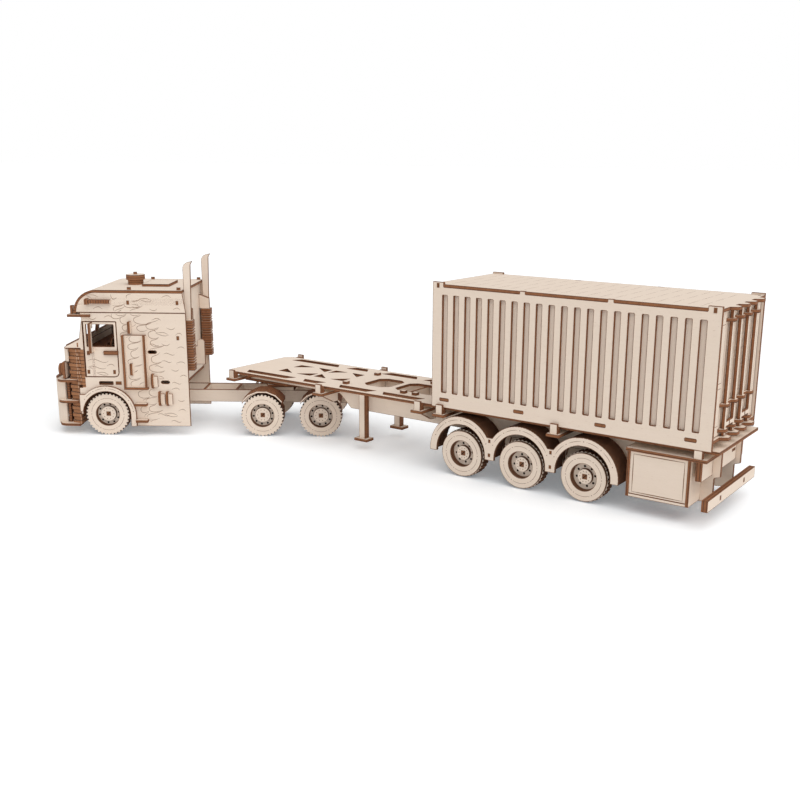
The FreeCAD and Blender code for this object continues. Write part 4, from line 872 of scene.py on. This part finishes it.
class LORRY_OT_engrave_cab(bpy.types.Operator):
    """Engrave the flames on the cab's sides, doors, roof sides and side boxes"""
    bl_idname = "lorry.engrave_cab"
    bl_label = "Engrave the cab"

    def execute(self, context):
        looks = context.scene.lorry_looks
        drawing = [[(FRONT_AXLE + x, z) for x, z in line] for line in flame_drawing()]

        def area(x0, x1, z0, z1):
            return ((FRONT_AXLE + x0, z0), (FRONT_AXLE + x1, z1))

        fixed = [area(-52.4, -22.4, 56.4, 122.6), area(-17.8, 24, 70.2, 138.4),
                 area(-35.4, -30.6, 122, 139), area(-63.4, -54.6, 57.8, 76.4),
                 area(-70.9, -62.2, 36.6, 55.2), area(-79.9, -71.2, 36.6, 55.2),
                 area(-50, -34, 16, 21), area(-50, -34, 36, 41), area(-64, -51.4, 99, 104.2),
                 area(-77.6, -65, 62.6, 68), area(-20, 8.4, 60.8, 66.6), area(-36.6, 36.6, 9, 62.6),
                 area(-92, -85.5, 114.8, 122.2)]
        horn = [area(-13.4, 18, 156.4, 165.4), area(-36, -30, 155.5, 164.5),
                area(-92.5, -87, 155.5, 164.5)]
        panels = {
            "side": (area(-97.5, 24, 12.5, 147), fixed, CAB_FACE),
            "roof": (area(-94, 28, 149.2, 170.4), horn, CAB_FACE),
            "side_box": (area(-47.8, -27, 60.8, 121), [area(-35.4, -30.6, 73.4, 89)], FLARE_FACE),
        }
        for side in (1, -1):
            for name, (keep, leave, level) in panels.items():
                spread = Spread("tractor", "XZ", side * (level + looks.proud), (0, side, 0))
                engrave(f"flames_{name}_{steered(side)}", kept(drawing, keep, leave), spread, "tractor",
                        looks.line_width)
            spread = Spread("tractor", "XZ", side * (CAB_FACE + looks.proud), (0, side, 0))
            tenons = [area(-14, -9, 74, 80.4), area(16.6, 21.4, 74, 80.4)]
            engrave(f"flames_door_{steered(side)}", kept(drawing, area(-15.6, 21, 72.4, 97.6), tenons),
                    spread, f"{steered(side)}_cab_door", looks.line_width)
        return {"FINISHED"}


def frame_lines(x0, x1, z0, z1):
    """A plain rectangle as four lines."""
    corners = [(x0, z0), (x1, z0), (x1, z1), (x0, z1)]
    lines = []
    for index in range(4):
        (ax, az), (bx, bz) = corners[index], corners[(index + 1) % 4]
        lines.append([(ax + (bx - ax) * step / 8, az + (bz - az) * step / 8) for step in range(9)])
    return lines


class LORRY_OT_engrave_container(bpy.types.Operator):
    """Engrave the panels of the container's doors, its roof and the tool boxes' doors"""
    bl_idname = "lorry.engrave_container"
    bl_label = "Engrave the container"

    def execute(self, context):
        looks = context.scene.lorry_looks
        width = looks.line_width
        for side in (1, -1):
            lines = []
            for low, high in ((93, 128), (133, 186)):
                lines += frame_lines(side * 14.5, side * 29.5, low, high)
                lines += frame_lines(side * 40, side * 51, low, high)
            spread = Spread("trailer", "YZ", CONTAINER_REAR - looks.proud, (-1, 0, 0))
            engrave(f"door_panels_{steered(side)}", lines, spread, f"container_{steered(side)}_leaf",
                    width)
            spread = Spread("trailer", "XZ", side * (TOOLBOX_FACE + looks.proud), (0, side, 0))
            engrave(f"toolbox_frame_{steered(side)}", frame_lines(-541, -491, 22, 59), spread,
                    "trailer", width * 1.6)
        rows = []
        for index in range(20):
            x = -278 - index * 13.9
            for start, end in ((-50, -22), (-16, 14), (20, 50)):
                shift = 3 * math.sin(index * 1.7)
                rows.append([(x, start + shift + (end - start) * step / 6) for step in range(7)])
        spread = Spread("trailer", "XY", CONTAINER_TOP + looks.proud, (0, 0, 1))
        engrave("roof_lines", rows, spread, "trailer", width * 0.8)
        return {"FINISHED"}


class LORRY_OT_bend_arches(bpy.types.Operator):
    """Round the trailer's fenders and the flares of the cab's wheel arches"""
    bl_idname = "lorry.bend_arches"
    bl_label = "Bend the arches"

    def execute(self, context):
        foot, crown, outer, inner, shell = 25.0, 28.0, 38.0, 30.0, 35.0
        half = (BOGIE[0] - BOGIE[1]) / 2
        valley = math.degrees(math.acos(half / outer))
        web = math.degrees(math.asin((48.5 - crown) / outer))
        low = math.degrees(math.asin((foot - crown) / outer))
        face = []
        for index, x in enumerate(BOGIE):
            first = low if index == 0 else web
            last = 180 - low if index == 2 else 180 - web
            face += arc(x, crown, outer, first, last)
        for x in reversed(BOGIE):
            face += [(x - inner, foot), *arc(x, crown, inner, 180, 0), (x + inner, foot)]
        bands = []
        for index, x in enumerate(BOGIE):
            first = low if index == 0 else valley
            last = 180 - low if index == 2 else 180 - valley
            band = arc(x, crown, outer, first, last)
            if index < 2:
                band.append((x - half, foot))
            band += [(x - shell, foot), *arc(x, crown, shell, 180, 0), (x + shell, foot)]
            if index > 0:
                band.append((x + half, foot))
            bands.append(extruded(band, "Y", 33.4, TRAILER_FACE - SHEET))
        carriers = []
        for x in VALLEYS:
            carriers.append(brick((x - 1.5, x + 1.5), (RAIL_FACE, 33.5), (foot, 50.0)))
        fender = [extruded(face, "Y", TRAILER_FACE - SHEET, TRAILER_FACE), *bands, *carriers]
        for side in (1, -1):
            node = f"trailer_fender_{steered(side)}"
            assembled(f"fender_{steered(side)}", for_side(fender, side), "trailer", "trailer",
                      plywood("trailer", *TRAILER_SHEETS[node]), (node,))
        x, z = FRONT_AXLE, AXLE_HEIGHT
        outline = [*arc(x, z, 35, 44.4, 180), (x - 35, 11.4), (x - 29, 11.4), *arc(x, z, 29, 180, 7.7),
                   (x + 30.4, 29.4), (x + 31.5, 29.4), (x + 31.5, 50.0)]
        flare = extruded(outline, "Y", CAB_FACE, FLARE_FACE)
        assembled("flares", [flare, flip(flare)], "tractor", "tractor",
                  plywood("tractor", *TRACTOR_SHEETS["arch_flares"]), ("arch_flares",))
        return {"FINISHED"}


def bent_sheet(path, z, thickness=2.6):
    """A sheet bent along a path seen from above, mirrored about the middle."""
    line = smooth(path)
    line += [(x, -y) for x, y in reversed(line)]
    count = len(line)
    inner = []
    for index, (x, y) in enumerate(line):
        before, after = line[max(0, index - 1)], line[min(count - 1, index + 1)]
        dx, dy = after[0] - before[0], after[1] - before[1]
        length = math.hypot(dx, dy) or 1.0
        inner.append((x + dy / length * thickness, y - dx / length * thickness))
    return extruded(line + inner[::-1], "Z", *z)


class LORRY_OT_bend_bumper(bpy.types.Operator):
    """Set the bent sheets of the bull bar and of the hood's front, with the rings let into them"""
    bl_idname = "lorry.bend_bumper"
    bl_label = "Bend the bumper"

    def execute(self, context):
        x = FRONT_AXLE
        outline = [(x + 34, 60.0), (x + 34, 46.0), (x + 52, 46.0), (x + 52, -46.0), (x + 34, -46.0),
                   (x + 34, -60.0), *arc(x + 49, -48.0, 11.75, -90, 0, 8),
                   *arc(x + 49, 48.0, 11.75, 0, 90, 8)]
        rings = [extruded(outline, "Z", z, z + 3.0) for z in (10.5, 38.5, 64.0)]
        posts = [brick((x + 46.6, x + 49.4), y, (10.5, 67.0)) for y in ((40.0, 51.5), (-51.5, -40.0))]
        assembled("bull_bar_rings", rings + posts, "tractor", "tractor",
                  plywood("tractor", *TRACTOR_SHEETS["bull_bar"]), ("bull_bar",))
        front = bent_sheet([(x + 51.6, 52.4), (x + 57, 50.6), (x + 62, 47), (x + 65.6, 41),
                            (x + 67.4, 34), (x + 68.2, 20), (x + 68.4, 0.5)], (10.6, 66.9))
        hood = bent_sheet([(x + 44.2, 56.6), (x + 48, 53.6), (x + 50.4, 48), (x + 51.2, 40),
                           (x + 51.4, 0.5)], (88.4, 104.4), 1.6)
        assembled("bumper_face", [front], "tractor", "tractor", plywood("tractor", "bent"))
        assembled("hood_face", [hood], "tractor", "tractor", plywood("tractor", "bent"))
        return {"FINISHED"}


class LORRY_OT_scorch_edges(bpy.types.Operator):
    """Burn a thin line along every cut on the pale faces"""
    bl_idname = "lorry.scorch_edges"
    bl_label = "Scorch the edges"

    def execute(self, context):
        looks = context.scene.lorry_looks
        burn = stain("scorched_edge", looks.edge_burnt_and_shade, looks.edge_light)
        tables = {"trailer": TRAILER_SHEETS, "tractor": TRACTOR_SHEETS}
        groups = frame["record"]["behaviour"]["bodies"]
        home = {node: body for body, nodes in groups.items() for node in nodes}
        strips = {body: ([], []) for body in groups}
        work = [(frame["nodes"][node].data, drawn, facts, home[node])
                for drawn, table in tables.items() for node, facts in table.items()
                if node not in REBUILT and "wheel" not in node and "axle" not in node]
        for name, drawn, key in (("fender_left", "trailer", "trailer_fender_left"),
                                 ("fender_right", "trailer", "trailer_fender_right"),
                                 ("flares", "tractor", "arch_flares"),
                                 ("bull_bar_rings", "tractor", "bull_bar")):
            work.append((bpy.data.objects[name].data, drawn, tables[drawn][key], drawn))
        for name in ("bumper_face", "hood_face"):
            work.append((bpy.data.objects[name].data, "tractor", ("bent", ()), "tractor"))
        for mesh, drawn, facts, body in work:
            some, quads = scorch_strips(mesh, drawn, facts, looks.scorch_width)
            points, faces = strips[body]
            start = len(points)
            points.extend(some)
            faces.extend(tuple(start + index for index in quad) for quad in quads)
        for body, (points, faces) in strips.items():
            if points:
                new_piece(f"scorch_{body}", points, faces, body, burn)
        return {"FINISHED"}


# Every wheel: depth of its rim, radius of its opening, ring and lugs, height of its hub, dotted circle
WHEEL = {"recess": 6.0, "opening": 14.0, "ring": 24.4, "tip": 25.34, "hub": 2.9, "circle": 19.4}
# Each row: radius of the hub, number and place of its holes, place of its bolts, foot of the lugs
RIMS = {"trailer": (7.5, 8, 10.0, 5.3, 24.75), "tractor": (8.9, 10, 11.6, 6.3, 24.1)}


def wheel_places():
    """Every wheel's name, half of the lorry, body, place of its outer face, depth and side."""
    rows = [(f"trailer_{name}", "trailer", f"trailer_axle_{name}", x, TRAILER_FACE - SHEET, 15.0)
            for name, x in zip(("front", "middle", "rear"), BOGIE)]
    rows += [(f"drive_{name}", "tractor", f"drive_{name}", x, CAB_FACE, 12.0)
             for name, x in zip(("front", "rear"), DRIVES)]
    places = [(*row, side) for row in rows for side in (1, -1)]
    places += [("steered", "tractor", f"{steered(side)}_front_wheel", FRONT_AXLE, CAB_FACE, 15.0, side)
               for side in (1, -1)]
    return places


class LORRY_OT_mark_wheels(bpy.types.Operator):
    """Round off each tyre, set its lugs, rim holes and hub, and engrave its rings"""
    bl_idname = "lorry.mark_wheels"
    bl_label = "Mark the wheels"

    def execute(self, context):
        looks = context.scene.lorry_looks
        lines = engraving_and_shade()
        dark = tenon_and_shade_wood()
        skin = looks.proud
        deep = -WHEEL["recess"]
        ring, tip = WHEEL["ring"], WHEEL["tip"]
        top = deep + WHEEL["hub"]
        # Painted shade with char: near-black discs fill the rim's holes and the slit across the axle's end
        hole_char_and_shade = stain("charred_and_shaded_hole", looks.hole_dark, looks.edge_burnt_and_shade)
        dots = repeated("ring", 6, WHEEL["circle"], 1.0, 0.45, 0.1, lines, "pin")
        bend = turned(((WHEEL["circle"] - 0.18, 0), (WHEEL["circle"] + 0.18, 0)), 12, 46 / 360)
        # Painted shade with a burnt edge: a dark ring on the recess floor at the foot of the opening's wall, where
        # the wall's shadow falls
        rim = turned(((WHEEL["opening"] - 0.7, 0), (WHEEL["opening"] - 0.02, 0)))
        brim = turned(((WHEEL["opening"], 0), (WHEEL["opening"] + 0.4, 0)))
        border = turned(((ring - 0.45, 0), (ring, 0)))
        square = repeated("row", 1, 1.0, 5.3, 5.3, 0.1, dark)
        slit = repeated("row", 1, 1.0, 5.3, 0.9, 0.1, hole_char_and_shade)
        rims = {}
        for drawn, (wide, number, circle, bolts, base) in RIMS.items():
            rims[drawn] = (turned(((wide, deep), (wide, top), (0.01, top))),
                           repeated("ring", number, circle, 1.0, 1.25, 0.1, hole_char_and_shade, "pin"),
                           repeated("ring", 10, bolts, 1.0, 0.5, 0.1, lines, "pin"),
                           # The fourth is painted shade: a thin dark ring round the foot of the raised hub, where
                           # its shadow falls on the recess floor
                           turned(((wide + 0.02, 0), (wide + 0.7, 0))), base)
        for name, drawn, body, x, face, depth, side in wheel_places():
            # Painted shade: the tyres' edges are darkened towards the burnt colour, for the shade on the tread
            wood = plywood(drawn, "Y", (), SHEET, 0.0, -0.5)
            hub, holes, bolts, hub_shade_ring, base = rims[drawn]
            front = -SHEET if drawn == "trailer" else skin

            def at(level, spin=0.0):
                return (on_side(drawn, side, x, face + level, AXLE_HEIGHT)
                        @ Matrix.Rotation(math.radians(spin), 4, "Z"))

            shoulder = [(ring, skin), (ring, front)] if drawn == "trailer" else []
            band = turned([(WHEEL["opening"], deep), (WHEEL["opening"], skin), *shoulder, (base, front),
                           (base, -depth - skin), (9.0, -depth - skin)])
            lug = depth + front
            lugs = repeated("ring", 36, (base + tip) / 2, tip - base + 0.2, 2.3, lug, wood)
            gather(f"{name}_tread_{steered(side)}",
                   [(band, at(0)), (lugs, at(front - lug / 2)), (hub, at(0))], body, wood)
            bends = [(bend, at(skin * 2, 7 + 60 * index)) for index in range(6)]
            edges = [(border, at(skin * 2))] if drawn == "trailer" else []
            # The rings round the hub and at the foot of the opening's wall are painted shade on the recess floor
            gather(f"{name}_lines_{steered(side)}",
                   [(dots, at(skin * 2)), (brim, at(skin * 2)), *bends, *edges, (bolts, at(top)),
                    (hub_shade_ring, at(deep + 0.05)), (rim, at(deep + 0.05))], body, lines)
            gather(f"{name}_axle_{steered(side)}", [(square, at(deep + 3.0))], body, dark)
            gather(f"{name}_holes_{steered(side)}",
                   [(holes, at(deep, 9)), (slit, at(deep + 3.06, 45))], body, hole_char_and_shade)
        return {"FINISHED"}


class LORRY_OT_tenon_ends(bpy.types.Operator):
    """Set the scorched ends of tenons that come through the sheets"""
    bl_idname = "lorry.tenon_ends"
    bl_label = "Set the tenon ends"

    def execute(self, context):
        wood = tenon_and_shade_wood()
        small = repeated("row", 1, 1.0, 3.1, 4.8, 0.4, wood)
        tab = repeated("row", 1, 1.0, 7.0, 4.1, 0.4, wood)
        slot = repeated("row", 1, 1.0, 2.6, 3.6, 0.4, wood)
        grip = repeated("row", 1, 1.0, 16.8, 4.6, 2.9, wood)
        block = repeated("row", 1, 1.0, 3.2, 4.4, 1.2, wood)
        for side in (1, -1):
            cab = [(small, on_side("tractor", side, FRONT_AXLE + x, CAB_FACE, z))
                   for x, z in ((-32.3, 160), (-89.8, 160), (-88.7, 118.5))]
            cab.append((tab, on_side("tractor", side, FRONT_AXLE - 15.5, CAB_FACE, 63.8)))
            gather(f"cab_tenons_{steered(side)}", cab, "tractor", wood)
            door = [(small, on_side("tractor", side, FRONT_AXLE + x, CAB_FACE, 77.2))
                    for x in (19.0, -11.5)]
            door.append((grip, on_side("tractor", side, FRONT_AXLE - 9.2, CAB_FACE + 1.5, 100.4)))
            door.append((block, on_side("tractor", side, FRONT_AXLE + 17.7, CAB_FACE + 0.6, 100.0)))
            gather(f"door_tenons_{steered(side)}", door, f"{steered(side)}_cab_door", wood)
            cover = brick(ahead(23.7, 27.6), (57.9, 60.25), (58.3, 103.9))
            tick = brick(ahead(29.4, 31.0), (59.0, 60.1), (106.6, 112.0))
            assembled(f"nose_rear_{steered(side)}", for_side([cover, tick], side), "tractor", "tractor",
                      plywood("tractor", *TRACTOR_SHEETS["grille_stack"]))
            plates = [brick(ahead(x - 4.1, x), (59.9, 62.6), (z + 1, z + 14))
                      for x, z in ((-58.5, 58.6), (-66.0, 37.4), (-75.0, 37.4))]
            assembled(f"hook_plates_{steered(side)}", for_side(plates, side), "tractor", "tractor",
                      plywood("tractor", "Y"))
            ends = [(small, on_side("trailer", side, x, CONTAINER_FACE, 200.4)) for x in (-268.5, -558.5)]
            ends += [(slot, on_side("trailer", side, x, TRAILER_FACE, z))
                     for x in VALLEYS for z in (45.4, 30.5)]
            gather(f"trailer_tenons_{steered(side)}", ends, "trailer", wood)
        lip = repeated("row", 1, 1.0, 0.4, 9.0, 2.6, wood)
        board = [(lip, spot("trailer", -560.1, y, 57.0)) for y in (-19.0, 19.0)]
        square = repeated("row", 1, 1.0, 0.4, 3.0, 4.4, wood)
        board += [(square, spot("trailer", -568.1, y, 24.0)) for y in (-34.0, 34.0)]
        gather("board_tenons", board, "trailer", wood)
        return {"FINISHED"}


class LORRY_OT_nose_joints(bpy.types.Operator):
    """Set the short upright joints between the blocks of the nose's layers, and slabs of painted shade under its
    proud layers
    """
    bl_idname = "lorry.nose_joints"
    bl_label = "Joint the nose's layers"

    def execute(self, context):
        looks = context.scene.lorry_looks
        pale = stain("joint_light", looks.edge_light, looks.face_warm)
        dark = tenon_and_shade_wood()
        tick = repeated("row", 1, 1.0, 0.55, 0.1, 3.2, pale)
        # Painted shade: a dark slab just under each proud layer of the nose's upper half
        shade = repeated("row", 1, 1.0, 6.0, 0.1, 0.8, dark)
        ticks = []
        shades = []
        layers = 21
        step = 92 / layers
        for side in (1, -1):
            for index in range(layers):
                z = 12 + step * (index + 0.5)
                back = 0.9 * (index % 2)
                level = side * (58.02 - back)
                ticks.append((tick, spot("tractor", FRONT_AXLE + 33.4, level, z)))
                if index > 10:
                    ticks.append((tick, spot("tractor", FRONT_AXLE + 29.4 + 0.8 * (index % 4), level, z)))
                    # Painted shade on the recessed layer, under the proud one above
                    if back:
                        shades.append((shade, spot("tractor", FRONT_AXLE + 30.4, level,
                                                   z + step * 0.36)))
        gather("nose_joints", ticks, "tractor", pale)
        gather("nose_shades", shades, "tractor", dark)
        return {"FINISHED"}


class LORRY_OT_muffler_sheets(bpy.types.Operator):
    """Set the thin stacked sheets round the mufflers"""
    bl_idname = "lorry.muffler_sheets"
    bl_label = "Stack the muffler's sheets"

    def execute(self, context):
        wood = plywood("tractor", "Z", (), 3.158, 79.0)
        foot, height, number = 79.0, 60.0, 19
        sheets = repeated("row", number, height / number, 1.5, 12.0, 12.0, wood)
        upright = Matrix.Rotation(math.radians(-90), 4, "Y")
        for side in (1, -1):
            where = spot("tractor", FRONT_AXLE - 100, side * 50.3, foot + height / number / 2)
            gather(f"muffler_{steered(side)}", [(sheets, where @ upright)], "tractor", wood)
        return {"FINISHED"}


class LORRY_OT_engrave_arches(bpy.types.Operator):
    """Engrave the lines and dots that follow the wheel arches"""
    bl_idname = "lorry.engrave_arches"
    bl_label = "Engrave the arches"

    def execute(self, context):
        looks = context.scene.lorry_looks
        width = looks.line_width * 0.8
        dot = repeated("row", 1, 1.0, 0.5, 0.5, 0.1, engraving_and_shade(), "pin")
        arches = (("flare_line", "flare_dots", "tractor", (FRONT_AXLE,), AXLE_HEIGHT, 32, FLARE_FACE,
                   (36, 62, 90, 118, 146, 172)),
                  ("fender_lines", "fender_dots", "trailer", BOGIE, 28, 34.2, TRAILER_FACE,
                   (24, 57, 90, 123, 156)))
        for side in (1, -1):
            for title, spots, body, centres, height, radius, face, marks in arches:
                spread = Spread(body, "XZ", side * (face + looks.proud), (0, side, 0))
                lines = [arc(centre, height, radius, low + 5, high - 5, 10)
                         for centre in centres for low, high in zip(marks, marks[1:])]
                engrave(f"{title}_{steered(side)}", lines, spread, body, width)
                dots = []
                for centre in centres:
                    for angle in marks:
                        x, z = arc(centre, height, radius, angle, angle, 1)[0]
                        dots.append((dot, on_side(body, side, x, face + looks.proud, z)))
                gather(f"{spots}_{steered(side)}", dots, body, engraving_and_shade())
        return {"FINISHED"}


# The camera's place in millimetres from the kingpin and its view, and the light's direction
CAMERA = {"place": (-852.1, 929.8, 324.4), "ahead": (0.5662, -0.8243), "pitch": 0.2534, "roll": 0.0095,
          "lens": 45.95, "shift": (-0.0329, 0.0305)}
LAMP = {"from": (-0.55, 0.22, 1.0), "spread": 70}
FLOOR_HALF = 40.0


def world_light(strength):
    """The world: even light on the lorry, and plain white where the camera sees past the floor."""
    world = bpy.data.worlds.new("soft_sky")
    world.use_nodes = True
    tree = world.node_tree
    tree.nodes.clear()
    mixer = tree.nodes.new("ShaderNodeMixShader")
    for index, level in ((1, strength), (2, 1.0)):
        background = tree.nodes.new("ShaderNodeBackground")
        background.inputs["Color"].default_value = (1.0, 1.0, 1.0, 1.0)
        background.inputs["Strength"].default_value = level
        tree.links.new(background.outputs[0], mixer.inputs[index])
    ray = tree.nodes.new("ShaderNodeLightPath")
    output = tree.nodes.new("ShaderNodeOutputWorld")
    tree.links.new(ray.outputs["Is Camera Ray"], mixer.inputs[0])
    tree.links.new(mixer.outputs[0], output.inputs[0])
    return world


class LORRY_OT_stage(bpy.types.Operator):
    """Set the pale floor, the soft light and the camera"""
    bl_idname = "lorry.stage"
    bl_label = "Set the stage"

    def execute(self, context):
        scene = context.scene
        looks = scene.lorry_looks
        half = FLOOR_HALF
        mesh = bpy.data.meshes.new("floor")
        mesh.from_pydata([(-half, -half, 0), (half, -half, 0), (half, half, 0), (-half, half, 0)], [],
                         [(0, 1, 2, 3)])
        floor = bpy.data.objects.new("floor", mesh)
        scene.collection.objects.link(floor)
        finish = Finish("pale_floor")
        ray = finish.tree.nodes.new("ShaderNodeLightPath")
        seen = Wire(finish.tree, ray.outputs["Is Camera Ray"])
        finish.set(Base_Color=colour(looks.floor), Roughness=0.9, Emission_Strength=1.0,
                   Emission_Color=finish.mix(seen, (0.05, 0.05, 0.05, 1.0), colour(looks.haze)))
        mesh.materials.append(finish.material)

        scene.world = world_light(looks.sky)

        lamp = bpy.data.lights.new("overhead", "SUN")
        lamp.energy = looks.lamp
        lamp.angle = math.radians(LAMP["spread"])
        holder = bpy.data.objects.new("overhead", lamp)
        holder.rotation_euler = Vector(LAMP["from"]).to_track_quat("Z", "Y").to_euler()
        scene.collection.objects.link(holder)

        camera = bpy.data.cameras.new("camera")
        camera.sensor_width = 36.0
        camera.lens = CAMERA["lens"]
        camera.shift_x, camera.shift_y = CAMERA["shift"]
        camera.clip_start = 0.01
        camera.dof.use_dof = False
        eye = bpy.data.objects.new("camera", camera)
        stand = place("trailer") @ Vector(CAMERA["place"])
        level = math.cos(CAMERA["pitch"])
        look = Vector((*(share * level for share in CAMERA["ahead"]), -math.sin(CAMERA["pitch"])))
        facing = look.to_track_quat("-Z", "Y").to_matrix().to_4x4()
        eye.matrix_world = Matrix.Translation(stand) @ facing @ Matrix.Rotation(CAMERA["roll"], 4, "Z")
        scene.collection.objects.link(eye)
        scene.camera = eye
        scene.view_settings.view_transform = "Standard"
        return {"FINISHED"}


STEPS = (LORRY_OT_finish_sheets, LORRY_OT_bend_arches, LORRY_OT_bend_bumper, LORRY_OT_scorch_edges,
         LORRY_OT_engrave_cab, LORRY_OT_engrave_container, LORRY_OT_engrave_arches,
         LORRY_OT_mark_wheels, LORRY_OT_tenon_ends, LORRY_OT_nose_joints, LORRY_OT_muffler_sheets,
         LORRY_OT_stage)


class LORRY_PT_panel(bpy.types.Panel):
    """The lorry's finishing steps"""
    bl_idname = "LORRY_PT_panel"
    bl_label = "Plywood lorry"
    bl_space_type = "VIEW_3D"
    bl_region_type = "UI"
    bl_category = "Lorry"

    def draw(self, context):
        for name in LorryLooks.__annotations__:
            self.layout.prop(context.scene.lorry_looks, name)
        for step in STEPS:
            self.layout.operator(step.bl_idname)


CLASSES = (LorryLooks, *STEPS, LORRY_PT_panel)


def register():
    for kind in CLASSES:
        bpy.utils.register_class(kind)
    bpy.types.Scene.lorry_looks = bpy.props.PointerProperty(type=LorryLooks)


def unregister():
    del bpy.types.Scene.lorry_looks
    for kind in reversed(CLASSES):
        bpy.utils.unregister_class(kind)


def main():
    register()
    bpy.ops.lorry.finish_sheets()
    bpy.ops.lorry.bend_arches()
    bpy.ops.lorry.bend_bumper()
    bpy.ops.lorry.scorch_edges()
    bpy.ops.lorry.engrave_cab()
    bpy.ops.lorry.engrave_container()
    bpy.ops.lorry.engrave_arches()
    bpy.ops.lorry.mark_wheels()
    bpy.ops.lorry.tenon_ends()
    bpy.ops.lorry.nose_joints()
    bpy.ops.lorry.muffler_sheets()
    bpy.ops.lorry.stage()


if __name__ == "__main__":
    main()
